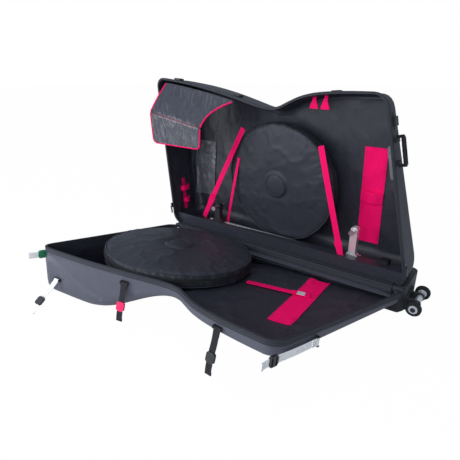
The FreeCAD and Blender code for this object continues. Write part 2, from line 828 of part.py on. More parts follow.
# Wheel bags: padded discs with a pad over the hub, and on the lid's bag a belly over the hub's other end
def bag(label, frame, radius, edge, crown, belly):
    """A disc of flat gores between rings of (radius, height), from its back to its hub pad."""
    dome = edge + crown
    back = [(mm.bag_hub_radius, -belly), (2 * mm.bag_hub_radius, 0)] if belly else []
    profile = back + [
        (radius - mm.bag_edge_round, 0),
        (radius, edge / 2),
        (radius - mm.bag_edge_round, edge),
        (mm.bag_hub_radius, dome),
        (mm.bag_hub_radius - mm.bag_hub_slope, dome + mm.bag_hub_rise),
    ]
    turns = [2 * math.pi * k / BAG_GORES for k in range(BAG_GORES + 1)]
    rings = [
        [Vector(r * math.cos(turn), r * math.sin(turn), height) for turn in turns] for r, height in profile
    ]
    faces = [Part.Face(Part.makePolygon(ring)) for ring in (rings[0], rings[-1])]
    for low, high in zip(rings, rings[1:]):
        for k in range(BAG_GORES):
            gore = [low[k], low[k + 1], high[k + 1], high[k], low[k]]
            faces.append(Part.Face(Part.makePolygon(gore)))
    return feature(label, Part.Solid(Part.Shell(faces)), frame)


RING_TURNS = [math.radians(turn) for turn in range(0, 360, 15)]
lid_hub_depth = min(
    inner_depth("lid", mm.lid_bag_place + mm.bag_hub_radius * math.cos(turn),
                mm.lid_bag_rise + mm.bag_hub_radius * math.sin(turn))
    for turn in RING_TURNS
)
lid_bag_seat = Placement(Vector(mm.lid_bag_place, -mm.lid_bag_bed, mm.lid_bag_rise), ALONG_Y)
bag("lid_wheel_bag", LID.multiply(lid_bag_seat),
    mm.lid_bag_radius, mm.lid_bag_edge, mm.lid_bag_crown, lid_hub_depth - mm.lid_bag_bed - mm.seat_gap)

BAG_RING_SHARES = (0.6, 1.0)
bag_share = share_at(mm.back_bag_place, mm.back_bag_radius)
bag_lean = abs(main_depths(bag_share)[1] - main_depths(bag_share)[0]) / crest(bag_share)
bag_rise = mm.hinge_gap + LINING_IN + 2 * mm.seat_gap + mm.back_bag_radius + mm.back_bag_edge / 2 * bag_lean


def behind_bag(across, above):
    """Depth of the lining behind a spot of the bag, measured from the bag's centre."""
    return inner_depth("main", mm.back_bag_place + across, bag_rise + above)


reach = mm.back_bag_radius
left, right = (behind_bag(side * reach / 2, 0) for side in (-1, 1))
slope_x = (right - left) / reach
low, high = (behind_bag(0, side * reach / 2) for side in (-1, 1))
slope_z = (high - low) / reach
flat = reach - mm.bag_edge_round
rings = [(flat * share, 0) for share in BAG_RING_SHARES] + [(reach, mm.back_bag_edge / 2)]
spots = [
    (radius * math.cos(turn), radius * math.sin(turn), ahead)
    for radius, ahead in rings
    for turn in RING_TURNS
]
bag_back = mm.seat_gap + max(
    slope_x * x + slope_z * z - ahead - behind_bag(x, z) for x, z, ahead in spots
)
facing = Vector(slope_x, -1, slope_z)
bag_seat = Placement(Vector(mm.back_bag_place, -bag_back, bag_rise), Rotation(Vector(0, 0, 1), facing))
bag("back_wheel_bag", MAIN.multiply(bag_seat), mm.back_bag_radius, mm.back_bag_edge, mm.back_bag_crown, 0)


# Points and frames on the halves
def spot(half, share, depth, rise):
    """A point of a half's own frame at a share of its length."""
    point = at(share, depth, rise)
    return Vector(point.x, -point.y, point.z) if half == "lid" else point


def facing_frame(origin, along, outward):
    """A frame at a point, its x along one direction and its z facing out."""
    x_axis = Vector(along).normalize()
    z_axis = (outward - x_axis * outward.dot(x_axis)).normalize()
    return Placement(origin, Rotation(x_axis, z_axis.cross(x_axis), z_axis, "XZY"))


def end_frame(half, side, depth, rise, inset=0):
    """A frame on an end wall, x up the wall and z out of the case."""
    share = (0 if side < 0 else 1) - side * inset / mm.foot_length
    up = spot(half, share, depth, mm.rim_height) - spot(half, share, depth, 0)
    return facing_frame(spot(half, share, depth, rise), up, Vector(side, 0, 0))


TANGENT_SHARE = 0.004


def top_frame(half, share, depth):
    """A frame on the top wall, x along the case and z out of it."""
    def on_top(part, deep):
        return spot(half, part, deep, crest(part) - WALL_DRAFT_SHARE * deep)

    along = on_top(share + TANGENT_SHARE, depth) - on_top(share - TANGENT_SHARE, depth)
    inward = on_top(share, depth + mm.rim_band) - on_top(share, depth)
    outward = along.cross(inward)
    return facing_frame(on_top(share, depth), along, outward * (1 if outward.z > 0 else -1))


def raised(frame, height):
    return frame.multiply(Placement(Vector(0, 0, height), Rotation()))


# Simple solids in a frame of their own
def block(name, corner, span):
    obj = doc.addObject("Part::Box", name)
    bind(obj, Length=span[0], Width=span[1], Height=span[2])
    bind(obj, Placement__Base__x=corner[0], Placement__Base__y=corner[1], Placement__Base__z=corner[2])
    return obj


def rod(name, start, length, radius, height="0"):
    """A round bar along the frame's x."""
    obj = doc.addObject("Part::Cylinder", name)
    obj.Placement = Placement(Vector(), Rotation(Vector(0, 1, 0), 90))
    bind(obj, Radius=radius, Height=length, Placement__Base__x=start, Placement__Base__z=height)
    return obj


def fused(name, solids):
    obj = doc.addObject("Part::MultiFuse", name)
    obj.Shapes = solids
    return obj


def bored(name, solid, hole):
    obj = doc.addObject("Part::Cut", name)
    obj.Base = solid
    obj.Tool = hole
    return obj


def group(label, frame, members):
    """One sub-part made of solids that share a frame."""
    obj = doc.addObject("Part::Compound", f"{label}_set")
    obj.Links = members
    obj.Placement = frame
    return keep(obj, label)


def placed(name, frame, member):
    """A solid carried into another frame, as one of a set."""
    obj = doc.addObject("Part::Compound", name)
    obj.Links = [member]
    obj.Placement = frame
    return obj


def band(label, frame, start, end, facing, width, thick):
    """A flat strap between two points of a frame, lying behind the line that joins them."""
    along = end - start
    strap = doc.addObject("Part::Box", f"{label}_band")
    strap.Length = along.Length
    bind(strap, Width=width, Height=thick, Placement__Base__y=f"-{width} / 2", Placement__Base__z=f"-{thick}")
    return group(label, frame.multiply(facing_frame(start, along, facing)), [strap])


# Straps that hold the load, from the floor pad to the face of the wheel bag
def bag_face(place, rise):
    """Depth of the back bag's front face at a place along the case and a rise."""
    across = place - mm.back_bag_place
    above = rise - bag_rise
    from_axis = math.hypot(across, above)
    flat = mm.back_bag_radius - mm.bag_edge_round
    swell = mm.back_bag_crown * min(max((flat - from_axis) / (flat - mm.bag_hub_radius), 0), 1)
    return -bag_back + slope_x * across + slope_z * above - (mm.back_bag_edge + swell) * facing.Length


PAD_BACK = mm.rail_depth + mm.floor_pad_width / 2 - mm.webbing_thick
PAD_FRONT = mm.rail_depth - mm.floor_pad_width / 2
FRONT = Vector(0, -1, 0)
pad_top = mm.hinge_gap + LINING_IN + mm.seat_gap + mm.floor_pad + mm.seat_gap


def load_strap(name, width, foot_depth):
    """Taut webbing from an edge of the floor pad, sewn to the wheel bag where it meets it."""
    foot, head, head_rise = (getattr(mm, f"{name}_{size}") for size in ("foot", "head", "rise"))
    half = getattr(mm, width) / 2
    foot_rise = pad_top + half * abs(head - foot) / (head_rise - pad_top)
    depths = []
    for share in STRAP_CHECK_SHARES:
        place = foot + (head - foot) * share
        rise = foot_rise + (head_rise - foot_rise) * share
        for x in (place - half, place, place + half):
            if math.hypot(x - mm.back_bag_place, rise - bag_rise) < mm.back_bag_radius + half:
                clear = bag_face(x, rise) - mm.webbing_thick - mm.seat_gap
                depths.append(foot_depth + (clear - foot_depth) / share)
    head_depth = min(depths)
    band(name, MAIN, Vector(foot, foot_depth, foot_rise), Vector(head, head_depth, head_rise), FRONT, width,
         "webbing_thick")


load_strap("load_strap_left", "webbing_width", PAD_BACK)
load_strap("load_strap_thin", "narrow_width", PAD_BACK)
load_strap("load_strap_right", "webbing_width", PAD_FRONT)


# Cloth pieces that lie on the inner faces
def wall_patch(label, half, start, end, width, thick, over=None):
    """A strip of cloth on the inner face of a half, or over another strip, between two spots."""
    frame, side = (LID, -1) if half == "lid" else (MAIN, 1)
    reach = getattr(mm, width) / 2

    def ground(place, rise):
        wall = inner_depth(half, place, rise)
        return min(wall, over(place, rise)) if over else wall

    ends = [Vector(place, inner_depth(half, place, rise), rise) for place, rise in (start, end)]
    along = ends[1] - ends[0]
    across = along.cross(FRONT).normalize() * reach
    shares = [k / PATCH_STEPS for k in range(PATCH_STEPS + 1)]
    spots = [ends[0] + along * share + across * turn for share in shares for turn in (-1, 0, 1)]
    bulge = max(point.y - ground(point.x, point.z) for point in spots)
    shift = bulge + mm.seat_gap + getattr(mm, thick)
    ends = [Vector(point.x, point.y - shift, point.z) for point in ends]
    turned_ends = [Vector(point.x, side * point.y, point.z) for point in ends]
    band(label, frame, *turned_ends, FRONT * side, width, thick)

    def front(place, rise):
        """Depth of the strip's face, or no limit beside it."""
        flat = Vector(along.x, 0, along.z)
        offset = Vector(place - ends[0].x, 0, rise - ends[0].z)
        share = offset.dot(flat) / flat.dot(flat)
        beside = (offset - flat * share).Length > reach + mm.narrow_width
        return math.inf if beside else ends[0].y + along.y * share

    return front


PATCH_STEPS = 16
wall_patch("back_panel", "main", (mm.panel_place, mm.panel_low), (mm.panel_place, mm.panel_high),
           "panel_width", "tape_thick")
patch_front = wall_patch("lid_patch", "lid", (mm.patch_foot, mm.patch_low), (mm.patch_head, mm.patch_high),
                         "patch_width", "tape_thick")
strap_ends = [(mm.lid_strap_left, mm.lid_strap_left_rise), (mm.lid_strap_right, mm.lid_strap_right_rise)]
strap_front = wall_patch("lid_strap", "lid", *strap_ends, "webbing_width", "webbing_thick", patch_front)
slide_ends = [tuple(a + (b - a) * share for a, b in zip(*strap_ends)) for share in LID_SLIDE_SHARES]
wall_patch("lid_strap_slide", "lid", *slide_ends, "buckle_width", "tape_thick", strap_front)

# Tab strip and pocket on the end walls, pad block on the floor, hanging tabs under the top edge
tab_frame = MAIN.multiply(end_frame("main", -1, mm.side_tab_depth, mm.side_tab_rise, LINING_IN))
tab = [block("side_tab_strip", ("0", "-side_tab_width / 2", "-tape_thick - seat_gap"),
             ("side_tab_length", "side_tab_width", "tape_thick"))]
for share in TAB_LOOP_SHARES:
    corner = (f"side_tab_length * {share}", "-side_tab_width / 2", "-side_tab_loop - tape_thick")
    tab.append(block("side_tab_loop", corner, ("narrow_width", "side_tab_width", "side_tab_loop")))
group("side_tab", tab_frame, [fused("side_tab_sewn", tab)])
pocket_frame = MAIN.multiply(end_frame("main", 1, mm.pocket_depth, mm.pocket_rise, LINING_IN))
group("end_pocket", pocket_frame, [
    block("end_pocket_pouch", ("0", "-pocket_width / 2", "-pocket_thick - seat_gap"),
          ("pocket_length", "pocket_width", "pocket_thick")),
])
box("rear_pad", MAIN, ("rear_pad_place", "rail_depth - rear_pad_width / 2", f"{rail_foot} + seat_gap"),
    ("rear_pad_length", "rear_pad_width", "rear_pad_height"))


def ceiling(place):
    """Rise of the lining under the top edge, at the hanging tabs' depth."""
    reach = mm.narrow_width / 2
    return min(
        crest(share_at(x, mm.rim_height - mm.top_tab_depth)) - LINING_IN - WALL_DRAFT_SHARE * mm.top_tab_depth
        for x in (place - reach, place, place + reach)
    )


tabs = []
for k in range(2):
    place = mm.top_tab_place + k * mm.top_tab_pitch
    hang = Vector(place, mm.top_tab_depth, ceiling(place) - mm.seat_gap)
    strap = block("top_tab", ("0", "-narrow_width / 2", "-webbing_thick"),
                  ("top_tab_length", "narrow_width", "webbing_thick"))
    tabs.append(placed("top_tab_hung", facing_frame(hang, Vector(0, 0, -1), FRONT), strap))
group("top_tabs", MAIN, tabs)

# Guard: a padded flap hung from the zip tape, folded over a crease
def bar(start, end, radius):
    return Part.makeCylinder(radius, (end - start).Length, start, end - start)


def panel(corners, thick):
    """A flat padded panel, centred on its corners' plane."""
    normal = (corners[1] - corners[0]).cross(corners[-1] - corners[0]).normalize()
    outline = Part.makePolygon(corners + corners[:1]).translated(normal * (-thick / 2))
    return Part.Face(outline).extrude(normal * thick)


bead = [
    Vector(at(share, 0, crest(share)).x, 0, crest(share) - mm.rim_inset - mm.guard_bead - mm.seat_gap)
    for share in GUARD_SHARES
]
run = (bead[1] - bead[0]).normalize()
crease_left = Vector(bead[0].x - mm.guard_splay, -mm.guard_reach, mm.rim_height - mm.guard_fall)
crease_right = crease_left + run * (mm.guard_width / run.x)
fall = (bead[0] - crease_left) - run * (bead[0] - crease_left).dot(run)
edge = fall.normalize() * (mm.guard_flap_bead + mm.seat_gap)
upper = panel([bead[0], bead[1], crease_right + edge, crease_left + edge], mm.guard_cloth)
feature("guard_upper", upper.fuse(bar(bead[0], bead[1], mm.guard_bead)), MAIN)
hem_rise = crease_left.z - mm.guard_flap
drop_left = Vector(crease_left.x, crease_left.y, hem_rise)
drop_right = Vector(crease_right.x, crease_right.y, hem_rise)
lower = panel([crease_left, crease_right, drop_right, drop_left], mm.guard_cloth)
feature("guard_lower", lower.fuse(bar(crease_left, crease_right, mm.guard_flap_bead)), MAIN)


# Handles that swing on pins
def handle(name, frame):
    """A grip on two legs, and the pair of pinned anchors that it swings on."""
    axis_frame = raised(frame, mm.handle_axis)
    span, reach, grip = f"{name}_span", f"{name}_reach", f"{name}_grip"
    start = f"-{span} / 2 - handle_leg / 2"
    solids = [rod(f"{name}_bar", start, f"{span} + handle_leg", grip, reach)]
    anchors = []
    for side in ("-1", "1"):
        leg = f"{side} * {span} / 2 - handle_leg / 2"
        solids.append(block(f"{name}_leg", (leg, "-handle_leg_thick / 2", "0"),
                            ("handle_leg", "handle_leg_thick", reach)))
        solids.append(rod(f"{name}_eye", leg, "handle_leg", "handle_eye"))
        inside = f"{span} / 2 - handle_leg / 2 - seat_gap"
        seat = f"{side} * ({inside} - anchor_length / 2) - anchor_length / 2"
        pin_run = "(anchor_length + handle_leg + 2 * seat_gap)"
        pin = f"{side} * ({inside} - anchor_length + {pin_run} / 2) - {pin_run} / 2"
        anchors.append(fused(f"{name}_anchor", [
            block(f"{name}_foot", (seat, "-anchor_width / 2", "seat_gap - handle_axis"),
                  ("anchor_length", "anchor_width", "handle_axis - seat_gap + handle_eye")),
            rod(f"{name}_pin", pin, pin_run, "handle_pin"),
        ]))
    hole = rod(f"{name}_bore", start, f"{span} + handle_leg", "handle_pin + running_gap")
    group(name, axis_frame, [bored(f"{name}_bored", fused(f"{name}_frame", solids), hole)])
    group(f"{name}_anchors", axis_frame, anchors)


handle("end_handle", MAIN.multiply(end_frame("main", 1, mm.end_handle_depth, mm.end_handle_rise)))
handle("lid_handle", LID.multiply(end_frame("lid", -1, mm.lid_handle_depth, mm.lid_handle_rise)))


# Zip sliders on the straight ends of the rim, each with a pull
def slider(side, name):
    frame = raised(end_frame("main", side, 0, mm.slider_rise, -mm.rim_proud), mm.seat_gap)
    axis = "(slider_thick + slider_bridge / 2)"
    cheek = "(slider_width - pull_width - 2 * seat_gap) / 2"
    plate = ("slider_length", "slider_width", "slider_thick")
    solids = [block(f"{name}_plate", ("0", "-slider_width / 2", "0"), plate)]
    for start in ("-slider_width / 2", f"slider_width / 2 - {cheek}"):
        solids.append(block(f"{name}_cheek", ("0", start, "0"),
                            ("slider_bridge", cheek, f"{axis} + slider_pin")))
    pin_place = Vector(mm.slider_bridge / 2, 0, mm.slider_thick + mm.slider_bridge / 2)
    pin_frame = frame.multiply(Placement(pin_place, Rotation(Vector(0, 0, 1), 90)))
    pin = rod(f"{name}_pin", "-slider_width / 2", "slider_width", "slider_pin")
    body = placed(f"{name}_body", frame, fused(f"{name}_cast", solids))
    group(name, MAIN, [fused(f"{name}_whole", [body, placed(f"{name}_axle", pin_frame, pin)])])
    tab = [
        rod(f"{name}_eye", "-pull_width / 2", "pull_width", "pull_eye"),
        block(f"{name}_tab", ("-pull_width / 2", "0", "-pull_thick / 2"),
              ("pull_width", "pull_length", "pull_thick")),
    ]
    hole = rod(f"{name}_bore", "-pull_width / 2", "pull_width", "slider_pin + running_gap")
    pull = bored(f"{name}_pull_bored", fused(f"{name}_pull_cast", tab), hole)
    group(f"{name}_pull", MAIN.multiply(pin_frame), [pull])


slider(1, "zip_slider_right")
slider(-1, "zip_slider_left")


# Closing straps: tabs with a bar on the lid, webbing that swings on the bar, and a buckle
def strap_tab(name, frame):
    span = "(webbing_width + 2 * seat_gap + 2 * strap_ear)"
    solids = [
        block(f"{name}_foot", (f"-{span} / 2", "-strap_plate / 2", "seat_gap"),
              (span, "strap_plate", "tape_thick - seat_gap")),
        rod(f"{name}_bar", f"-{span} / 2", span, "strap_pin", "strap_axis"),
    ]
    for start in (f"-{span} / 2", f"{span} / 2 - strap_ear"):
        solids.append(block(f"{name}_ear", (start, "-strap_pin - tape_thick", "seat_gap"),
                            ("strap_ear", "2 * strap_pin + 2 * tape_thick",
                             "strap_axis + strap_pin + tape_thick - seat_gap")))
    return placed(f"{name}_seat", frame, fused(f"{name}_tab", solids))


def strap(name, frame, length):
    """Webbing along the frame's y from an eye on its x axis, with a buckle and a loose tail."""
    eye = "(strap_pin + running_gap + webbing_thick)"
    webbing = fused(f"{name}_sewn", [
        rod(f"{name}_eye", "-webbing_width / 2", "webbing_width", eye),
        block(f"{name}_run", ("-webbing_width / 2", "0", "-webbing_thick / 2"),
              ("webbing_width", length, "webbing_thick")),
    ])
    hole = rod(f"{name}_bore", "-webbing_width / 2", "webbing_width", "strap_pin + running_gap")
    tail_start = f"{length} + buckle_length + 2 * seat_gap"
    tail = block(f"{name}_tail", ("-webbing_width / 2", tail_start, "-webbing_thick / 2"),
                 ("webbing_width", "strap_tail", "webbing_thick"))
    group(name, frame, [bored(f"{name}_bored", webbing, hole), tail])
    clip = new_body(f"{name}_buckle", frame)
    near = f"({length} + seat_gap)"
    far = f"({near} + buckle_length)"
    half = "buckle_width / 2"
    sketch = new_sketch(clip, "XY_Plane", "-buckle_thick / 2")
    polygon(sketch, [
        (f"buckle_bevel - {half}", near), (f"{half} - buckle_bevel", near), (half, f"{near} + buckle_bevel"),
        (half, f"{far} - buckle_bevel"), (f"{half} - buckle_bevel", far), (f"buckle_bevel - {half}", far),
        (f"-{half}", f"{far} - buckle_bevel"), (f"-{half}", f"{near} + buckle_bevel"),
    ])
    pad(clip, sketch, "buckle_thick")
    sketch = new_sketch(clip, "XY_Plane", "buckle_thick / 2")
    for low in (f"{near} + buckle_bevel", f"{far} - 2 * buckle_bevel"):
        polygon(sketch, rectangle("-webbing_width / 2", low, "webbing_width / 2", f"{low} + buckle_bevel"))
    pocket(clip, sketch, "buckle_thick / 2")


def resting(frame, length):
    """A strap's frame on the bar of a tab, turned about the bar until the strap's end meets the ground."""
    bar_frame = LID.multiply(raised(frame, mm.strap_axis))
    whole = length + mm.buckle_length + mm.strap_tail
    along = bar_frame.Rotation.multVec(ACROSS)
    drop = min(bar_frame.Base.z - mm.buckle_thick, whole * STEEPEST_SHARE)
    toward = Vector(0, -math.sqrt(whole * whole - drop * drop), -drop)
    toward = (toward - along * toward.dot(along)).normalize()
    return Placement(bar_frame.Base, Rotation(along, toward, along.cross(toward), "XYZ"))


lid_tabs = []
for name, share, depth, length in LID_TOP_STRAPS:
    frame = top_frame("lid", share, getattr(mm, depth))
    lid_tabs.append(strap_tab(f"{name}_hold", frame))
    strap(name, resting(frame, getattr(mm, length)), length)
for name, side, rise, length in LID_END_STRAPS:
    wall = end_frame("lid", side, mm.end_strap_depth, getattr(mm, rise))
    frame = wall.multiply(Placement(Vector(), Rotation(Vector(0, 0, 1), 90 * side)))
    lid_tabs.append(strap_tab(f"{name}_hold", frame))
    turned_frame = LID.multiply(raised(frame, mm.strap_axis))
    flip = Rotation(Vector(0, 0, 1), 90 + 90 * side)
    strap(name, turned_frame.multiply(Placement(Vector(), flip)), length)
group("lid_strap_tabs", LID, lid_tabs)

# Matching sockets on the upright half
sockets = []
seats = [top_frame("main", share, mm.socket_depth) for _, share, _, _ in LID_TOP_STRAPS]
quarter = Placement(Vector(), Rotation(Vector(0, 0, 1), 90))
seats += [end_frame("main", side, mm.socket_depth, mm.socket_rise).multiply(quarter) for side in (-1, 1)]
for seat in seats:
    solids = [
        block("socket_strap", ("-webbing_width / 2", "-socket_length / 2", "seat_gap"),
              ("webbing_width", "socket_length", "webbing_thick")),
        block("socket_clip", ("-buckle_width / 2", "-buckle_length / 2", "seat_gap"),
              ("buckle_width", "buckle_length", "buckle_thick")),
    ]
    sockets.append(placed("socket_seat", seat, fused("socket", solids)))
group("main_strap_sockets", MAIN, sockets)

# Check every object, then write each sub-part
doc.recompute()
for obj in doc.Objects:
    if "Invalid" in obj.State or "Error" in obj.State:
        raise ValueError(f"{obj.Label} failed: {obj.State}")
os.makedirs("parts", exist_ok=True)
for obj in PARTS:
    if obj.Shape.isNull() or not obj.Shape.isValid():
        raise ValueError(f"{obj.Label} has no valid shape")
for obj in PARTS:
    obj.Shape.exportStep(f"parts/{obj.Label}.step")
print(len(PARTS), "sub-parts written; the lid's deep end is", round(LID_DEEP, 1), "mm deep")
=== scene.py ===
# %% [markdown]
# # Bike travel case
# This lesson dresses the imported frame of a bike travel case, a hard clamshell that lies open with its lid
# on the floor. The construction's solids stay where they are. New pieces are made over them, and take
# their places from the same section formulas and from the frame, so that they sit where the solids sit.
# The soft pieces come after the hard shells, because they are laid on them.

# %% Load the frame
import json
import math

import bmesh
import bpy
from mathutils import Matrix, Vector, noise
from mathutils.bvhtree import BVHTree

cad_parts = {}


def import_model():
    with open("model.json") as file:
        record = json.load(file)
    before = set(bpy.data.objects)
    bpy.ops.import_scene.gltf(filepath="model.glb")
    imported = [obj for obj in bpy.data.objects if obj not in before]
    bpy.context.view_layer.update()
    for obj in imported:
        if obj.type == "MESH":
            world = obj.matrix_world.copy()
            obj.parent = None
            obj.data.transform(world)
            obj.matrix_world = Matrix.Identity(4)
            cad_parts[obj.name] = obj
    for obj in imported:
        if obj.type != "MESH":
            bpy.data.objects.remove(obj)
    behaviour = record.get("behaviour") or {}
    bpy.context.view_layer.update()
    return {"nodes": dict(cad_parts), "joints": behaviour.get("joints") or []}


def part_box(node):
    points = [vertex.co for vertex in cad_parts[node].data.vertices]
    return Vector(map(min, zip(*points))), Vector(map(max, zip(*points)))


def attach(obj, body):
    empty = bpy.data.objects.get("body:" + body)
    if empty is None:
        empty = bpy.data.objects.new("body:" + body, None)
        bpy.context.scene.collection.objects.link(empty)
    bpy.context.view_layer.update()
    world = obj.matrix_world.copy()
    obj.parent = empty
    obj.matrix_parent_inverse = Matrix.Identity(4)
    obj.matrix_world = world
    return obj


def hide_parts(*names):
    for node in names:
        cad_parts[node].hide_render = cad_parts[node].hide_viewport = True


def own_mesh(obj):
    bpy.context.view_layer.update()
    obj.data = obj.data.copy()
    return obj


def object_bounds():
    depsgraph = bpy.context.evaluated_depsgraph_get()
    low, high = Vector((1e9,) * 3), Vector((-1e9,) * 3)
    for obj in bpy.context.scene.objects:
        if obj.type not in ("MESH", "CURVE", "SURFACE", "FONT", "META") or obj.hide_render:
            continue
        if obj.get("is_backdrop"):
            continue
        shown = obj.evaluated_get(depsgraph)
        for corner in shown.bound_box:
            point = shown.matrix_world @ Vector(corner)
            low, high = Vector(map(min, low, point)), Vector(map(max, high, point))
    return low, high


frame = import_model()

print("nodes in the frame:", len(frame["nodes"]))

# %% [markdown]
# ## The form of the two halves
# Both halves of the real case are moulded over leaning end walls, and their top edge dips at the waist.
# They could be copied from the solids, but a copy would have the solids' flat facets. Here each half is a
# row of leaning sections along its length, worked out by formula: a floor by the hinge, a back and a top,
# joined by two arcs. So the shells, linings and tapes are all drawn from one form, each as finely as it
# needs. All lengths are metres.

# %% Sizes of the two halves
FOOT_LENGTH, FOOT_START = 1.190, 0.535
HEAD_LENGTH, HEAD_START = 1.123, 0.645
RIM_HEIGHT, END_ROUND, HINGE_GAP = 0.765, 0.050, 0.008
RIM_Y, HINGE_Z, OPEN_ANGLE = -0.110, 0.120, math.radians(82)
SHELL_START, SHELL_WALL, LINING_BACK, LINING_FACE = 0.0223, 0.004, 0.0046, 0.0068
DRAFT = 0.10
ROUND = {"main": 0.25, "lid": 0.30}
TURN = {"main": 1.0, "lid": 0.3}
CREST = (
    (0, 1.0), (0.10, 0.987), (0.20, 0.969), (0.29, 0.947), (0.365, 0.925), (0.44, 0.900),
    (0.485, 0.884), (0.53, 0.869), (0.575, 0.861), (0.615, 0.869), (0.655, 0.899), (0.70, 0.931),
    (0.76, 0.955), (0.86, 0.970), (1, 0.976),
)
print("the case is", FOOT_LENGTH, "m long at its foot and", HEAD_LENGTH, "m at its top edge")


# %% The top edge
def ease(value, start, end):
    """A smooth step from 0 to 1."""
    part = min(max((value - start) / (end - start), 0), 1)
    return part * part * (3 - 2 * part)


def slope(k):
    """Slope of the top edge at one of its points."""
    low, high = max(k - 1, 0), min(k + 1, len(CREST) - 1)
    return (CREST[high][1] - CREST[low][1]) / (CREST[high][0] - CREST[low][0])


def crest(share):
    """Rise of the top edge, a smooth curve through the construction's points."""
    k = 0
    while k < len(CREST) - 2 and share > CREST[k + 1][0]:
        k += 1
    (start, low), (end, high) = CREST[k], CREST[k + 1]
    run = end - start
    t = (share - start) / run
    value = (1 + 2 * t) * (1 - t) ** 2 * low + t * t * (3 - 2 * t) * high
    value += run * (t * (1 - t) ** 2 * slope(k) - t * t * (1 - t) * slope(k + 1))
    return RIM_HEIGHT * value


print("the top edge falls to", round(min(crest(k / 100) for k in range(101)), 3), "m at the waist")

# %% Places in a half
MAIN_FOOT, MAIN_TOP, MAIN_FALL = 0.220, 0.250, 0.120
LID_FOOT, LID_FOOT_FALL = 0.100, 0.040
LID_TOP, LID_TOP_FALL = 0.2242, 0.1722
TAIL_CHANGE = 0.010


def depths(half, share):
    """Depth of a half at its foot and at its top edge."""
    if half == "main":
        return MAIN_FOOT, MAIN_TOP - MAIN_FALL * ease(share, 0.15, 0.75)
    fall, tail = ease(share, 0.2, 0.6), ease(share, 0.6, 1)
    foot = LID_FOOT - LID_FOOT_FALL * fall - TAIL_CHANGE * tail
    return foot, LID_TOP - LID_TOP_FALL * fall + TAIL_CHANGE * tail


def along(share, rise):
    """Place along the case of the leaning section at a rise."""
    foot = FOOT_LENGTH * share - FOOT_START
    head = HEAD_LENGTH * share - HEAD_START
    return foot + (head - foot) * rise / crest(min(max(share, 0), 1))


def world(half, x, depth, rise):
    """A point of a half in the frame's own coordinates; the lid lies open."""
    if half == "main":
        return Vector((x, RIM_Y + depth, HINGE_Z + rise))
    c, s = math.cos(OPEN_ANGLE), math.sin(OPEN_ANGLE)
    return Vector((x, RIM_Y - depth * c - rise * s, HINGE_Z - depth * s + rise * c))


def lid_depth_of(p):
    """Depth in the lid of a point of the open frame."""
    return -(p.y - RIM_Y) * math.cos(OPEN_ANGLE) - (p.z - HINGE_Z) * math.sin(OPEN_ANGLE)


def lid_rise_of(p):
    """Rise in the lid of a point of the open frame."""
    return -(p.y - RIM_Y) * math.sin(OPEN_ANGLE) + (p.z - HINGE_Z) * math.cos(OPEN_ANGLE)


for share in (0, 1):
    print("depth of the lid at share", share, "is", [round(depth, 3) for depth in depths("lid", share)])


# %% Ends and corners
def end_turns(inset, steps=6):
    """How far along the length, and how far drawn in, the rounded end is at each step."""
    radius = END_ROUND - inset
    turns = [math.pi / 2 * k / steps for k in range(steps + 1)]
    return [(inset + radius * (1 - math.cos(a)), inset + radius * (1 - math.sin(a))) for a in turns]


def stations(inset, middle):
    """Shares along the length, each with how far its section is drawn in."""
    ends = [(reach / FOOT_LENGTH, drawn) for reach, drawn in end_turns(inset)]
    low = ends[-1][0]
    between = [(low + (1 - 2 * low) * k / middle, inset) for k in range(1, middle)]
    return ends + between + [(1 - share, drawn) for share, drawn in reversed(ends)]


def arc(before, corner, after, radius, steps=8):
    """Points of the arc that rounds a flat corner."""
    one, two = (before - corner).normalized(), (after - corner).normalized()
    half = one.angle(two) / 2
    centre = corner + (one + two).normalized() * (radius / math.sin(half))
    start = corner + one * (radius / math.tan(half)) - centre
    end = corner + two * (radius / math.tan(half)) - centre
    whole = start.angle(end)
    points = []
    for k in range(steps + 1):
        t = k / steps
        mix = start * (math.sin((1 - t) * whole) / math.sin(whole))
        mix += end * (math.sin(t * whole) / math.sin(whole))
        points.append(centre + mix)
    return points


print("a rounded end has", len(end_turns(0)), "steps")


# %% Sections
def section(half, share, drawn, inset, start, top_steps):
    """One section as (depth, rise) points from the hinge side of the rim round to its top side."""
    foot, top = (depth - inset - (drawn - inset) * TURN[half] for depth in depths(half, share))
    ridge, floor = crest(share) - drawn, HINGE_GAP + drawn
    corners = [Vector((start, floor)), Vector((foot, floor)), Vector((top, ridge - DRAFT * top)),
               Vector((start, ridge - DRAFT * start))]
    low = arc(corners[0], corners[1], corners[2], ROUND[half] * foot)
    high = arc(corners[1], corners[2], corners[3], ROUND[half] * top)
    points = [corners[0].lerp(low[0], k / 6) for k in range(6)] + low
    points += [low[-1].lerp(high[0], k / 18) for k in range(1, 18)] + high
    return points + [high[-1].lerp(corners[3], k / top_steps) for k in range(1, top_steps + 1)]


def half_rows(half, inset, start, fine, cap=7):
    """Rows of (share, depth, rise) points over a whole half, its two end walls included."""
    middle, top_steps = (100, 28) if fine else (46, 6)
    rows = [[(share, p.x, p.y) for p in section(half, share, drawn, inset, start, top_steps)]
            for share, drawn in stations(inset, middle)]
    walls = []
    for row in (rows[0], rows[-1]):
        low, high = row[0][2], row[-1][2]
        reach = [(point[2] - low) / (high - low) for point in row]
        steps = []
        for k in range(cap):
            part = k / cap
            step = []
            for (share, depth, rise), t in zip(row, reach):
                flat = low + (high - low) * t
                step.append((share, start + (depth - start) * part, flat + (rise - flat) * part))
            steps.append(step)
        walls.append(steps)
    return walls[0] + rows + walls[1][::-1]


print("a fine half has", len(half_rows("lid", 0, SHELL_START, True)), "rows of points")

# %% [markdown]
# ## Helpers
# Most pieces are skins over a row of cross-sections. Such a skin could be written as lists of vertices
# and faces, but every piece would then need its own counting. Here each section is a chain of vertices in
# a bmesh, neighbouring chains are bridged, and the finished mesh becomes an object that rides one body of
# the frame.

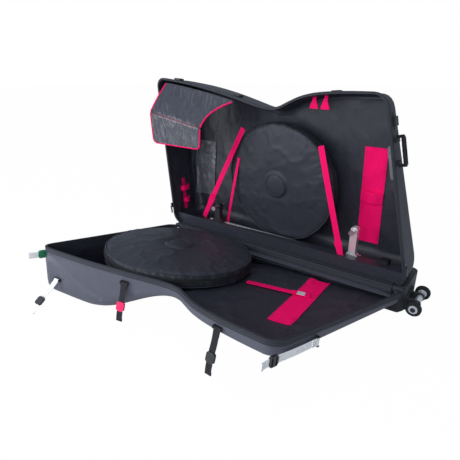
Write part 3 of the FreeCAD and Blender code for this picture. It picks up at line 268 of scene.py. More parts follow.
# %% Building helpers
def chain(bm, points, closed=False):
    """Vertices joined into an open or closed chain."""
    verts = [bm.verts.new(p) for p in points]
    pairs = list(zip(verts, verts[1:])) + ([(verts[-1], verts[0])] if closed else [])
    return verts, [bm.edges.new(pair) for pair in pairs]


def loft(bm, rows, closed=False, ring=False, caps=False):
    """Bridge neighbouring chains; rows may be closed loops, and ring joins the last row to the first."""
    made = [chain(bm, row, closed) for row in rows]
    pairs = list(zip(made, made[1:])) + ([(made[-1], made[0])] if ring else [])
    for (_, one), (_, two) in pairs:
        bmesh.ops.bridge_loops(bm, edges=one + two)
    if caps:
        for verts, _ in (made[0], made[-1]):
            bm.faces.new(verts)
    return [verts for verts, _ in made]


def finish_piece(name, bm, materials, body, replaces=(), sharp=35):
    """Make the object, shade it, and tie it to the frame."""
    bmesh.ops.recalc_face_normals(bm, faces=bm.faces)
    mesh = bpy.data.meshes.new(name)
    bm.to_mesh(mesh)
    bm.free()
    for material in materials:
        mesh.materials.append(material)
    mesh.polygons.foreach_set("use_smooth", [True] * len(mesh.polygons))
    mesh.set_sharp_from_angle(angle=math.radians(sharp))
    obj = bpy.data.objects.new(name, mesh)
    bpy.context.collection.objects.link(obj)
    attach(obj, body)
    if replaces:
        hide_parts(*replaces)
    return obj


print("helpers ready")

# %% [markdown]
# ## Materials
# The case is moulded plastic, woven cloth, thin film, webbing and some metal. Pictures could be wrapped
# round the pieces, but each piece would have to be unwrapped first. Three node groups make the effects
# that many materials share from noise and waves instead: a weave, a moulded grain and a crinkle. Each
# gives a height for the bump and a tone that varies the colour and the roughness.

# %% Node helpers
def new_group(name):
    """A node group with a scaled place going in, and a height and a tone coming out."""
    tree = bpy.data.node_groups.new(name, "ShaderNodeTree")
    tree.interface.new_socket("Vector", in_out="INPUT", socket_type="NodeSocketVector")
    tree.interface.new_socket("Scale", in_out="INPUT", socket_type="NodeSocketFloat")
    for output in ("Height", "Tone"):
        tree.interface.new_socket(output, in_out="OUTPUT", socket_type="NodeSocketFloat")
    start = tree.nodes.new("NodeGroupInput")
    end = tree.nodes.new("NodeGroupOutput")
    scaled = tree.nodes.new("ShaderNodeVectorMath")
    scaled.operation = "SCALE"
    tree.links.new(start.outputs["Vector"], scaled.inputs[0])
    tree.links.new(start.outputs["Scale"], scaled.inputs["Scale"])
    return tree, scaled.outputs[0], end


def noise_node(tree, vector, scale, detail):
    """Noise at a place."""
    node = tree.nodes.new("ShaderNodeTexNoise")
    node.inputs["Scale"].default_value = scale
    node.inputs["Detail"].default_value = detail
    node.inputs["Roughness"].default_value = 0.6
    tree.links.new(vector, node.inputs["Vector"])
    return node.outputs["Fac"]


def wave_node(tree, vector, direction, scale, distortion):
    """Bands across one direction."""
    node = tree.nodes.new("ShaderNodeTexWave")
    node.bands_direction = direction
    node.inputs["Scale"].default_value = scale
    node.inputs["Distortion"].default_value = distortion
    tree.links.new(vector, node.inputs["Vector"])
    return node.outputs["Fac"]


def math_node(tree, operation, one, two):
    """One sum of two values, each a number or a socket."""
    node = tree.nodes.new("ShaderNodeMath")
    node.operation = operation
    for socket, value in zip(node.inputs, (one, two)):
        if isinstance(value, float):
            socket.default_value = value
        else:
            tree.links.new(value, socket)
    return node.outputs[0]


print("node helpers ready")

# %% Shared node groups
weave, vector, end = new_group("Weave")
bands = [wave_node(weave, vector, way, 1.0, 0.4) for way in ("X", "Y", "Z")]
crossed = math_node(weave, "MULTIPLY", math_node(weave, "ADD", bands[0], bands[2]), bands[1])
weave.links.new(crossed, end.inputs["Height"])
weave.links.new(noise_node(weave, vector, 0.12, 4.0), end.inputs["Tone"])

grain, vector, end = new_group("Grain")
fine = math_node(grain, "MULTIPLY", noise_node(grain, vector, 4.0, 3.0), 0.5)
grain.links.new(math_node(grain, "ADD", fine, noise_node(grain, vector, 1.0, 2.0)), end.inputs["Height"])
grain.links.new(noise_node(grain, vector, 0.02, 5.0), end.inputs["Tone"])

crinkle, vector, end = new_group("Crinkle")
uneven = math_node(crinkle, "SUBTRACT", noise_node(crinkle, vector, 1.0, 5.0), 0.5)
ridges = math_node(crinkle, "ABSOLUTE", uneven, 0.0)
crinkle.links.new(math_node(crinkle, "MULTIPLY", ridges, 2.0), end.inputs["Height"])
crinkle.links.new(noise_node(crinkle, vector, 0.35, 3.0), end.inputs["Tone"])
print("node groups:", [group.name for group in bpy.data.node_groups])

# %% One material
ROUGH_SPREAD = 0.12


def make_material(name, colour, rough, group, scale, bump, spread=0.25, metallic=0.0, coat=0.0, shine=0.5,
                  strip=False):
    """One material: its group sets the bump, and shades its colour and roughness."""
    material = bpy.data.materials.new(name)
    material.use_nodes = True
    tree = material.node_tree
    shader = tree.nodes["Principled BSDF"]
    if strip:
        coords = tree.nodes.new("ShaderNodeAttribute")
        coords.attribute_name = "strip"
        place = coords.outputs["Vector"]
    else:
        place = tree.nodes.new("ShaderNodeTexCoord").outputs["Object"]
    effect = tree.nodes.new("ShaderNodeGroup")
    effect.node_tree = group
    effect.inputs["Scale"].default_value = scale
    tree.links.new(place, effect.inputs["Vector"])
    tint = tree.nodes.new("ShaderNodeMix")
    tint.data_type = "RGBA"
    low, high = (tuple(min(c * part, 1) for c in colour) + (1,) for part in (1 - spread, 1 + spread))
    tint.inputs[6].default_value = low
    tint.inputs[7].default_value = high
    tree.links.new(effect.outputs["Tone"], tint.inputs[0])
    tree.links.new(tint.outputs[2], shader.inputs["Base Color"])
    span = tree.nodes.new("ShaderNodeMapRange")
    span.inputs["To Min"].default_value = max(rough - ROUGH_SPREAD, 0.05)
    span.inputs["To Max"].default_value = min(rough + ROUGH_SPREAD, 1)
    tree.links.new(effect.outputs["Tone"], span.inputs["Value"])
    tree.links.new(span.outputs[0], shader.inputs["Roughness"])
    relief = tree.nodes.new("ShaderNodeBump")
    relief.inputs["Strength"].default_value = 0.6
    relief.inputs["Distance"].default_value = bump
    tree.links.new(effect.outputs["Height"], relief.inputs["Height"])
    tree.links.new(relief.outputs[0], shader.inputs["Normal"])
    shader.inputs["Metallic"].default_value = metallic
    shader.inputs["Coat Weight"].default_value = coat
    shader.inputs["Specular IOR Level"].default_value = shine
    return material


print("roughness varies by", ROUGH_SPREAD, "to each side")

# %% All the finishes
RED, DARK, PALE = (1.0, 0.003, 0.135), (0.012, 0.013, 0.017), (0.84, 0.84, 0.86)
MATERIALS = {
    "shell": make_material("shell", (0.074, 0.078, 0.104), 0.44, grain, 900, 0.00025, 0.18, shine=0.4),
    "outer": make_material("outer", (0.030, 0.032, 0.044), 0.50, grain, 900, 0.00025, 0.2, shine=0.4),
    "base": make_material("base", (0.018, 0.020, 0.028), 0.48, grain, 900, 0.0003, 0.2, shine=0.4),
    "lining": make_material("lining", (0.025, 0.027, 0.039), 0.36, weave, 900, 0.0002, 0.35, shine=0.4),
    "rim": make_material("rim", (0.026, 0.028, 0.039), 0.55, weave, 1100, 0.0003, 0.3, shine=0.3),
    "bag": make_material("bag", (0.025, 0.028, 0.039), 0.46, weave, 1000, 0.0002, 0.25, shine=0.3),
    "guard": make_material("guard", (0.038, 0.041, 0.057), 0.34, crinkle, 90, 0.0005, 0.3, shine=0.55),
    "film": make_material("film", (0.10, 0.105, 0.125), 0.26, crinkle, 45, 0.003, 0.5, coat=0.3),
    "foam": make_material("foam", (0.012, 0.013, 0.017), 0.85, grain, 500, 0.0006, 0.3, shine=0.2),
    "red": make_material("red", RED, 0.66, weave, 700, 0.0003, 0.10, shine=0.12, strip=True),
    "red_cloth": make_material("red_cloth", RED, 0.72, weave, 1000, 0.0003, 0.14, shine=0.1),
    "pale": make_material("pale", PALE, 0.70, weave, 700, 0.0003, 0.08, shine=0.3, strip=True),
    "dark": make_material("dark", DARK, 0.60, weave, 700, 0.0003, 0.2, shine=0.3, strip=True),
    "dark_cloth": make_material("dark_cloth", DARK, 0.62, weave, 1000, 0.0003, 0.25, shine=0.3),
    "alloy": make_material("alloy", (0.86, 0.87, 0.90), 0.34, grain, 300, 0.0001, 0.08, metallic=0.7),
    "steel": make_material("steel", (0.62, 0.63, 0.66), 0.32, grain, 300, 0.0001, 0.10, metallic=1.0),
    "rubber": make_material("rubber", (0.016, 0.017, 0.020), 0.75, grain, 600, 0.0004, 0.25, shine=0.3),
    "hub": make_material("hub", (0.52, 0.53, 0.57), 0.38, grain, 700, 0.0002, 0.12),
    "black": make_material("black", (0.014, 0.015, 0.019), 0.40, grain, 800, 0.0002, 0.2),
    "green": make_material("green", (0.02, 0.20, 0.09), 0.42, grain, 800, 0.0002, 0.15),
    "red_plastic": make_material("red_plastic", (0.80, 0.008, 0.11), 0.4, grain, 800, 0.0002, 0.12),
    "teeth": make_material("teeth", (0.03, 0.032, 0.04), 0.35, grain, 900, 0.0001, 0.2),
}
print("materials:", len(MATERIALS))

# %% [markdown]
# ## Moulded shells
# Each half is one thin plastic moulding. It could be a single surface with a Solidify modifier, but its
# rim would then lean with the walls. So an outside and an inside are lofted from the same sections, and
# their rims are bridged. The lid's outside has the moulded step that follows the wheel bag: the wall
# stands out a little below a line that falls from the left corner to the waist.

# %% Moulded step
STEP_IN, STEP_OUT = 0.0032, 0.0085
TABS = ((-0.547, 0.133), (-0.193, 0.047))


def swell(half, share, depth):
    """The lid's moulded step: the wall is drawn in above a flowing line and stands out below it."""
    if half == "main":
        return 0
    line = 0.042 + 0.112 * ease(share, 0.02, 0.30)
    form = (STEP_IN + STEP_OUT) * ease(depth, line - 0.005, line + 0.009)
    form -= STEP_IN * ease(depth, 0.024, 0.034)
    x = along(share, RIM_HEIGHT)
    for place, deep in TABS:
        form *= 1 - math.exp(-((x - place) ** 2 + (depth - deep) ** 2) / 0.040 ** 2)
    return form * (1 - ease(share, 0.36, 0.50)) * ease(share, 0.004, 0.03)


print("the step stands out by", STEP_OUT, "m")


# %% Shells
def half_surface(bm, half, inset, start, fine, moulded=False):
    """One surface of a half, with the moulded step where that is asked for."""
    rows = []
    for row in half_rows(half, inset, start, fine):
        points = []
        for share, depth, rise in row:
            out = swell(half, share, depth) * ease(rise / crest(share), 0.5, 0.75) if moulded else 0
            points.append(world(half, along(share, rise), depth, rise + out))
        rows.append(points)
    return loft(bm, rows)


def walled(bm, half, outer, inner, start, moulded=False):
    """Two surfaces of a half, joined along the rim; returns the inner one's vertices."""
    half_surface(bm, half, outer, start, moulded, moulded)
    before = set(bm.verts)
    half_surface(bm, half, inner, start, moulded)
    inside = [v for v in bm.verts if v not in before]
    bmesh.ops.remove_doubles(bm, verts=bm.verts, dist=0.00002)
    rim = [e for e in bm.edges if e.is_boundary]
    bmesh.ops.bridge_loops(bm, edges=rim)
    return [v for v in inside if v.is_valid]


for half, body, plastic in (("main", "upright_half", "outer"), ("lid", "lid", "shell")):
    bm = bmesh.new()
    walled(bm, half, 0, SHELL_WALL, SHELL_START, moulded=True)
    shell = finish_piece(f"{half}_shell_moulding", bm, [MATERIALS[plastic]], body,
                         [f"{half}_shell"], sharp=50)
    print(shell.name, len(shell.data.polygons), "faces")

# %% [markdown]
# ## Linings
# A padded cloth lines each half and is sewn down along the rim. Simulating it would take long and could
# push it through the shell. So its face is lofted a little inside the shell and pulled into creases by
# noise: upright ones on the end walls of the upright half, and long shallow ones over the lid's tail. The
# creases fade out towards the rim, and under the pieces that lie on the cloth.

# %% Crease noise
def turbulence(p, size, stretch=(1, 1, 1)):
    """Layered noise, about -1 to 1, at a size in metres."""
    q = Vector((p.x * stretch[0], p.y * stretch[1], p.z * stretch[2])) / size
    return noise.noise(q) + 0.5 * noise.noise(q * 2.1 + Vector((7, 3, 1))) + 0.25 * noise.noise(q * 4.3)


def fold(p, size, stretch=(1, 1, 1)):
    """Sharp creases between soft swells, 0 to 1."""
    return 1 - min(abs(turbulence(p, size, stretch)) * 1.6, 1)


print("a fold, from 0 to 1, is here", round(fold(Vector((0.1, 0.2, 0.3)), 0.1), 3))

# %% Depth of the creases
Z_STEP = Vector((0.3, 0.7, 5.0))
PATCH_LINE = (Vector((0.400, -0.171)), Vector((0.315, -0.656)))
STRAP_LINE = (Vector((0.110, -0.430)), Vector((0.375, -0.370)))


def beside(p, one, two, reach):
    """1 on a line on the floor of the lid, falling to 0 beyond a reach."""
    spot = Vector((p.x, p.y))
    run = two - one
    t = min(max((spot - one).dot(run) / run.length_squared, 0), 1)
    return 1 - ease((spot - one - run * t).length, reach, reach + 0.05)


def crease_depth(half, p):
    """How far the cloth stands off the shell at a point."""
    if half == "lid":
        soft = 0.0020 * (turbulence(p, 0.10, (0.7, 1.2, 1.0)) + 0.6)
        flat = max(beside(p, *PATCH_LINE, 0.055), beside(p, *STRAP_LINE, 0.030))
        tail = (0.4 + 0.9 * ease(p.x, 0.0, 0.35)) * (1 - 0.9 * flat)
        soft *= 1 - 0.9 * flat
        broad = 0.0062 * fold(p, 0.085, (1.0, 0.8, 1.0)) ** 3
        narrow = 0.0026 * fold(p + Z_STEP, 0.035) ** 2
        return soft + (broad + narrow) * tail
    end = max(ease(-p.x, 0.44, 0.54), ease(p.x, 0.42, 0.54))
    upright = 0.0050 * fold(p, 0.045, (0.3, 1.0, 0.16)) ** 2 * end
    back = 0.0030 * fold(p, 0.12, (0.9, 0.4, 0.7)) ** 3 + 0.0012 * fold(p + Z_STEP, 0.045, (1, 1, 0.5)) ** 2
    return 0.0016 * (turbulence(p, 0.09, (0.5, 2.2, 0.25)) + 0.6) + upright + back


print("creases on the lid's floor stand", round(crease_depth("lid", Vector((0.3, -0.5, 0.1))), 4), "m off")

# %% Linings
INSIDE = {"main": Vector((0.0, -0.08, 0.45)), "lid": Vector((0.0, -0.45, 0.35))}
LININGS = {}
for half, body in (("main", "upright_half"), ("lid", "lid")):
    bm = bmesh.new()
    inner = bm.verts.layers.float.new("inner")
    for v in walled(bm, half, LINING_BACK, LINING_FACE, SHELL_START):
        v[inner] = 1
    sides = [e for e in bm.edges if all(v[inner] > 0.5 for v in e.verts)]
    bmesh.ops.subdivide_edges(bm, edges=sides, cuts=1, use_grid_fill=True)
    bmesh.ops.recalc_face_normals(bm, faces=bm.faces)
    bm.normal_update()
    moves = []
    for v in bm.verts:
        if v[inner] < 0.9:
            continue
        depth = v.co.y - RIM_Y if half == "main" else lid_depth_of(v.co)
        hold = ease(depth, SHELL_START, SHELL_START + 0.030)
        if half == "main":
            high = ease(v.co.z, 0.50, 0.60)
            hold *= ease(v.co.z, 0.140, 0.200) * (1 - high * ease(abs(v.normal.z), 0.45, 0.75))
            hold *= 1 - 0.7 * high * ease(-v.co.x, 0.50, 0.56)
        else:
            top = crest(min(max((v.co.x + HEAD_START) / HEAD_LENGTH, 0), 1))
            hold *= 1 - ease(lid_rise_of(v.co), top - 0.050, top - 0.036)
        inward = v.normal if (INSIDE[half] - v.co).dot(v.normal) > 0 else -v.normal
        moves.append((v, inward * (max(crease_depth(half, v.co), 0) * hold)))
    for v, move in moves:
        v.co += move
    bm.verts.layers.float.remove(inner)
    LININGS[half] = finish_piece(f"{half}_lining_cloth", bm, [MATERIALS["lining"]], body,
                                 [f"{half}_lining"], sharp=80)
    print(LININGS[half].name, len(LININGS[half].data.polygons), "faces")

# %% [markdown]
# ## Zip tapes
# A zip runs round both rims, from one end of the hinge to the other. Its teeth could be a bump on a plain
# strip, but the rim is seen from the side. So the tape is lofted from a cross-section with a groove for
# the teeth and a sewn seam, and the teeth are small blocks that stand in the groove at an even step.

# %% Rim outline
def outline(inset, depth, relief=math.radians(66)):
    """The rim's outline from one end of the hinge to the other, as (place, rise) points."""
    radius = END_ROUND - inset
    turns = [relief * (1 - k / 6) for k in range(6)]
    left = []
    for a in turns:
        reach, drawn = inset + radius * (1 - math.cos(a)), inset + radius * (1 - math.sin(a))
        left.append((reach / FOOT_LENGTH, HINGE_GAP + drawn))
    quarter = [(reach / FOOT_LENGTH, drawn) for reach, drawn in end_turns(inset, 7)]
    side = quarter[0]
    low, high = HINGE_GAP + side[1], crest(side[0]) - side[1] - DRAFT * depth
    left += [(side[0], low + (high - low) * k / 14) for k in range(14)]
    left += [(share, crest(share) - drawn - DRAFT * depth) for share, drawn in quarter]
    start = quarter[-1][0]
    top = [start + (1 - 2 * start) * k / 60 for k in range(1, 60)]
    right = []
    for share, rise in reversed(left):
        if rise > RIM_HEIGHT / 2:
            rise += crest(1 - share) - crest(share)
        right.append((1 - share, rise))
    points = left + [(share, crest(share) - inset - DRAFT * depth) for share in top] + right
    return [(along(share, rise), rise) for share, rise in points]


def tape_points(half, inset, depth):
    """The rim's outline as points of the frame."""
    return [world(half, x, depth, rise) for x, rise in outline(inset, depth)]


print("the rim's outline has", len(outline(0, 0)), "points")

# %% Zip tapes
TAPE_SECTION = [(x / 1000, y / 1000) for x, y in (
    (6.6, 0.6), (3.0, 0.6), (1.6, 2.8), (-0.8, 2.8), (-1.4, 0.8), (-2.4, 0.9), (-3.0, 1.8), (-3.0, 7.6),
    (-2.2, 8.3), (-2.2, 9.1), (-3.0, 9.8), (-3.0, 19.4), (-2.6, 20.9), (-1.4, 21.8), (0.6, 21.9), (6.6, 21.9),
)]
TOOTH, TOOTH_STEP = (0.0042, 0.0017, 0.0018), 0.007
TEETH_INSET, TEETH_DEPTH = 0.0004, 0.0016
for half, body in (("main", "upright_half"), ("lid", "lid")):
    bm = bmesh.new()
    columns = [tape_points(half, inset, depth) for inset, depth in TAPE_SECTION]
    loft(bm, [list(row) for row in zip(*columns)], closed=True, caps=True)
    tape = finish_piece(f"{half}_rim_tape", bm, [MATERIALS["rim"]], body,
                        [f"{half}_zip_tape"], sharp=70)
    bm = bmesh.new()
    path = tape_points(half, TEETH_INSET, TEETH_DEPTH)
    inward = (world(half, 0, 1, 0) - world(half, 0, 0, 0)).normalized()
    left_over, count = 0.0, 0
    for one, two in zip(path, path[1:]):
        run = two - one
        place = left_over
        while place < run.length:
            ahead = run.normalized()
            turn = Matrix((ahead, inward.cross(ahead), inward)).transposed().to_4x4()
            size = Matrix.Diagonal((*TOOTH, 1))
            bmesh.ops.create_cube(bm, size=1, matrix=Matrix.Translation(one + ahead * place) @ turn @ size)
            place += TOOTH_STEP
            count += 1
        left_over = place - run.length
    finish_piece(f"{half}_zip_teeth", bm, [MATERIALS["teeth"]], body)
    print(tape.name, "with", count, "teeth")

# %% [markdown]
# ## Webbing and hinge
# Straps, tabs and handles are woven webbing, and a cloth hinge joins the two halves. A flat strip with a
# Solidify modifier has sharp edges, and a weave on object coordinates slides across its bends. A ribbon
# has a rounded section along a path, and its vertices carry their place on the strip, which the weave
# follows. The hinge is a roll of cloth with a strip to each half.

# %% Ribbon
STRIP_SECTION = (
    (-1, -0.35), (-0.96, -0.85), (-0.6, -1), (0, -1), (0.6, -1), (0.96, -0.85), (1, -0.35),
    (1, 0.35), (0.96, 0.85), (0.6, 1), (0, 1), (-0.6, 1), (-0.96, 0.85), (-1, 0.35),
)


def ribbon(bm, path, across, width, thick, material=0):
    """Webbing along a path; across and width are one value for all points or a list."""
    layer = bm.verts.layers.float_vector.get("strip") or bm.verts.layers.float_vector.new("strip")
    ways = across if isinstance(across, list) else [across] * len(path)
    widths = width if isinstance(width, list) else [width] * len(path)
    before = len(bm.faces)
    rows, places, run = [], [], 0
    for k, (point, way, wide) in enumerate(zip(path, ways, widths)):
        ahead = (path[min(k + 1, len(path) - 1)] - path[max(k - 1, 0)]).normalized()
        side = (way - ahead * way.dot(ahead)).normalized()
        up = side.cross(ahead)
        run += (point - path[max(k - 1, 0)]).length
        rows.append([point + side * (u * wide / 2) + up * (w * thick / 2) for u, w in STRIP_SECTION])
        places.append([Vector((u * wide / 2, run, w * thick / 2)) for u, w in STRIP_SECTION])
    for verts, spots in zip(loft(bm, rows, closed=True, caps=True), places):
        for vert, spot in zip(verts, spots):
            vert[layer] = spot
    bm.faces.ensure_lookup_table()
    for face in bm.faces[before:]:
        face.material_index = material


print("webbing has", len(STRIP_SECTION), "points round")

# %% Cords and stitches
CIRCLE = [(math.cos(math.pi * k / 6), math.sin(math.pi * k / 6)) for k in range(12)]
STITCH = (0.0040, 0.0009, 0.0006)


def tube(bm, path, radius, material=0, closed=False):
    """A round cord or binding along a path."""
    before = len(bm.faces)
    rows = []
    count = len(path)
    for k, point in enumerate(path):
        if closed:
            ahead = (path[(k + 1) % count] - path[k - 1]).normalized()
        else:
            ahead = (path[min(k + 1, count - 1)] - path[max(k - 1, 0)]).normalized()
        side = ahead.cross(Vector((0, 0, 1)) if abs(ahead.z) < 0.95 else Vector((1, 0, 0))).normalized()
        up = side.cross(ahead)
        rows.append([point + side * (radius * c) + up * (radius * s) for c, s in CIRCLE])
    loft(bm, rows, closed=True, ring=closed, caps=not closed)
    bm.faces.ensure_lookup_table()
    for face in bm.faces[before:]:
        face.material_index = material


def stitches(bm, start, end, up, material, pitch=0.0065):
    """A row of short raised threads from one point to another."""
    before = len(bm.faces)
    run = end - start
    ahead = run.normalized()
    side = up.cross(ahead).normalized()
    turn = Matrix((ahead, side, ahead.cross(side))).transposed().to_4x4()
    size = Matrix.Diagonal((*STITCH, 1))
    for k in range(max(int(run.length / pitch), 1)):
        place = start + ahead * (pitch * (k + 0.5))
        bmesh.ops.create_cube(bm, size=1, matrix=Matrix.Translation(place) @ turn @ size)
    bm.faces.ensure_lookup_table()
    for face in bm.faces[before:]:
        face.material_index = material


print("a cord has", len(CIRCLE), "points round")

# %% Hinge
HINGE_START, HINGE_LENGTH, HINGE_STRIP = -0.485, 1.090, 0.0206
HINGE_ROLL, GUSSET, HINGE_CLOTH = 0.0068, 0.0108, 0.0032
HINGE_RUN = [HINGE_START + HINGE_LENGTH * k / 110 for k in range(111)]
bm = bmesh.new()
rows = []
for x in HINGE_RUN:
    rows.append([])
    for c, s in CIRCLE:
        radius = HINGE_ROLL + 0.0007 * noise.noise(Vector((x * 70, c * 1.5, s * 1.5)))
        rows[-1].append(Vector((x, RIM_Y + radius * c, HINGE_Z + radius * s)))
loft(bm, rows, closed=True, caps=True)
finish_piece("hinge_roll", bm, [MATERIALS["rim"]], "upright_half", ["hinge_piping"])
bm = bmesh.new()
for start, end in ((-0.487, -0.533), (0.607, 0.652)):
    path = [Vector((start + (end - start) * k / 10, RIM_Y + 0.002, HINGE_Z - 0.0065)) for k in range(11)]
    rows = []
    for k, p in enumerate(path):
        rows.append([])
        for c, s in CIRCLE:
            size = GUSSET * math.sqrt(1 - 0.92 * max(k / 5 - 1, 0) ** 2)
            size += 0.0012 * noise.noise(Vector((p.x * 90, c, s)))
            rows[-1].append(p + Vector((0, 0.88 * size * c, 1.25 * size * s)))
    loft(bm, rows, closed=True, caps=True)
finish_piece("hinge_gussets", bm, [MATERIALS["rim"]], "upright_half")
for half, body in (("main", "upright_half"), ("lid", "lid")):
    bm = bmesh.new()
    rises = [0.0100 + 0.0003 * noise.noise(Vector((x * 40, 2, 5))) for x in HINGE_RUN]
    path = [world(half, x, 0.0112, rise) for x, rise in zip(HINGE_RUN, rises)]
    ribbon(bm, path, world(half, 0, 1, 0) - world(half, 0, 0, 0), HINGE_STRIP, HINGE_CLOTH)
    cloth = finish_piece(f"{half}_hinge_cloth", bm, [MATERIALS["rim"]], body,
                         [f"{half}_hinge_strip"])
print("hinge of", len(HINGE_RUN), "rings")

# %% [markdown]
# ## Wheel bags
# Each bag is a padded disc of sewn cloth, with piping and a zip round its edge. Noise alone looks stiff,
# so the cloth is simulated: a turned disc, a little smaller than its final form, is remeshed and blown up
# with its seams held. No point may move further than a cap, so that the bag stays clear of its
# neighbours. Wrinkles follow the gusset, and piping and zip are laid on afterwards.

# %% Even discs
def turned_disc(rings, segments=96):
    """A closed disc through rings of (radius, height)."""
    bm = bmesh.new()
    turns = [2 * math.pi * k / segments for k in range(segments)]
    rows = [[Vector((r * math.cos(a), r * math.sin(a), z)) for a in turns] for r, z in rings]
    loft(bm, rows, closed=True, caps=True)
    bmesh.ops.recalc_face_normals(bm, faces=bm.faces)
    return bm


def remeshed(bm, voxel):
    """The same form as an even mesh of small squares."""
    mesh = bpy.data.meshes.new("draft")
    bm.to_mesh(mesh)
    bm.free()
    obj = bpy.data.objects.new("draft", mesh)
    bpy.context.collection.objects.link(obj)
    grid = obj.modifiers.new("grid", "REMESH")
    grid.mode = "VOXEL"
    grid.voxel_size = voxel
    even = bpy.data.meshes.new_from_object(obj.evaluated_get(bpy.context.evaluated_depsgraph_get()))
    obj.modifiers.clear()
    obj.data = even
    bpy.data.meshes.remove(mesh)
    return obj


print("discs can be turned and remeshed")


# %% Blown cloth
def blown(obj, hold, pressure, cap, frames=20):
    """Simulate cloth under pressure; hold gives 0 to 1 for a point, and cap limits how far it moves."""
    held = obj.vertex_groups.new(name="held")
    for v in obj.data.vertices:
        held.add([v.index], hold(v.co), "REPLACE")
    cloth = obj.modifiers.new("cloth", "CLOTH")
    cloth.settings.quality = 4
    cloth.settings.mass = 0.2
    cloth.settings.tension_stiffness = 12
    cloth.settings.compression_stiffness = 8
    cloth.settings.bending_stiffness = 0.4
    cloth.settings.use_pressure = True
    cloth.settings.uniform_pressure_force = pressure
    cloth.settings.effector_weights.gravity = 0
    cloth.settings.vertex_group_mass = "held"
    cloth.point_cache.frame_start = 1
    cloth.point_cache.frame_end = frames
    for number in range(1, frames + 1):
        bpy.context.scene.frame_set(number)
    moved = obj.evaluated_get(bpy.context.evaluated_depsgraph_get()).data
    places = [v.co.copy() for v in moved.vertices]
    obj.modifiers.clear()
    bpy.context.scene.frame_set(1)
    for v, place in zip(obj.data.vertices, places):
        step = place - v.co
        v.co += step * min(cap / max(step.length, 1e-9), 1)


print("the bags are", "simulated")

# %% Bag cloth
HUB_PAD, PRESSURE, PRESSURE_CAP = 0.062, 4.0, 0.007


def bag_cloth(radius, edge, crown, belly, voxel):
    """The sewn bag in its own frame, with its back at height 0."""
    back = [(0.050, 0.004)]
    if belly:
        back = [(0.030, 0.004 - belly), (HUB_PAD - 0.008, 0.005 - belly), (0.116, 0.003)]
    face = edge + crown
    rings = back + [
        (0.7 * radius, 0.003), (radius - 0.018, 0.003), (radius - 0.009, 0.12 * edge),
        (radius - 0.006, 0.5 * edge), (radius - 0.009, 0.88 * edge), (radius - 0.018, edge - 0.002),
        (0.7 * radius, edge + 0.35 * crown), (0.40 * radius, edge + 0.75 * crown),
        (HUB_PAD + 0.004, face - 0.004), (HUB_PAD - 0.004, face + 0.003), (HUB_PAD - 0.012, face + 0.007),
        (0.015, face + 0.009),
    ]
    obj = remeshed(turned_disc(rings), voxel)

    def hold(p):
        from_axis = math.hypot(p.x, p.y)
        seam = max(abs(from_axis - radius + 0.012) - 0.006, 0) + min(abs(p.z - edge), abs(p.z)) * 0.5
        pad = ease(0.010 - abs(from_axis - HUB_PAD), 0, 0.010)
        return max(1 - seam / 0.016, 0.0, pad, 1.0 if p.z < -0.004 else 0)

    blown(obj, hold, PRESSURE, PRESSURE_CAP)
    obj.data.update()
    for v, normal in [(v, v.normal.copy()) for v in obj.data.vertices]:
        from_axis, turn = math.hypot(v.co.x, v.co.y), math.atan2(v.co.y, v.co.x)
        side = ease(from_axis, radius - 0.030, radius - 0.008)
        round_it = Vector((turn * radius, v.co.z * 0.35, 0))
        upright = 0.0046 * fold(round_it, 0.040) ** 2 + 0.0014 * turbulence(round_it, 0.015) - 0.0022
        ray = Vector((turn * 0.45, from_axis * 0.35, 2))
        flat = 0.0018 * turbulence(v.co, 0.10) + 0.0036 * fold(v.co + Vector((3, 1, 0)), 0.15) ** 3
        flat += 0.0022 * fold(ray, 0.10) ** 3 * ease(from_axis, 0.4 * radius, 0.95 * radius) - 0.0014
        v.co += normal * (upright * side + flat * (1 - side) * ease(from_axis, HUB_PAD, HUB_PAD + 0.05))
    return obj


print("the pad over a hub is", 2 * HUB_PAD, "m wide")

# %% Places of the bags
LID_BED, LID_BAG_X, LID_BAG_RISE = 0.040, -0.218, 0.350
BACK_AXIS = Vector((-0.1015, -0.9889, -0.1088)).normalized()
BACK_SIDE = (Vector((1, 0, 0)) - BACK_AXIS * BACK_AXIS.x).normalized()
BACK_BED = Vector((0.0260, 0.0271, 0.4271))


def surface_of(obj):
    """The finished mesh of a piece, for laying other pieces on it."""
    depsgraph = bpy.context.evaluated_depsgraph_get()
    return BVHTree.FromObject(obj, depsgraph)


def lid_bag_place(p):
    """A point of the lid's bag, from the bag's own frame."""
    return world("lid", LID_BAG_X + p.x, LID_BED - p.z, LID_BAG_RISE - p.y)


def back_bag_place(p):
    """A point of the back bag, from the bag's own frame."""
    return BACK_BED + BACK_SIDE * p.x + BACK_AXIS.cross(BACK_SIDE) * p.y + BACK_AXIS * p.z


print("the lid's bag lies", LID_BED, "m deep in the lid")

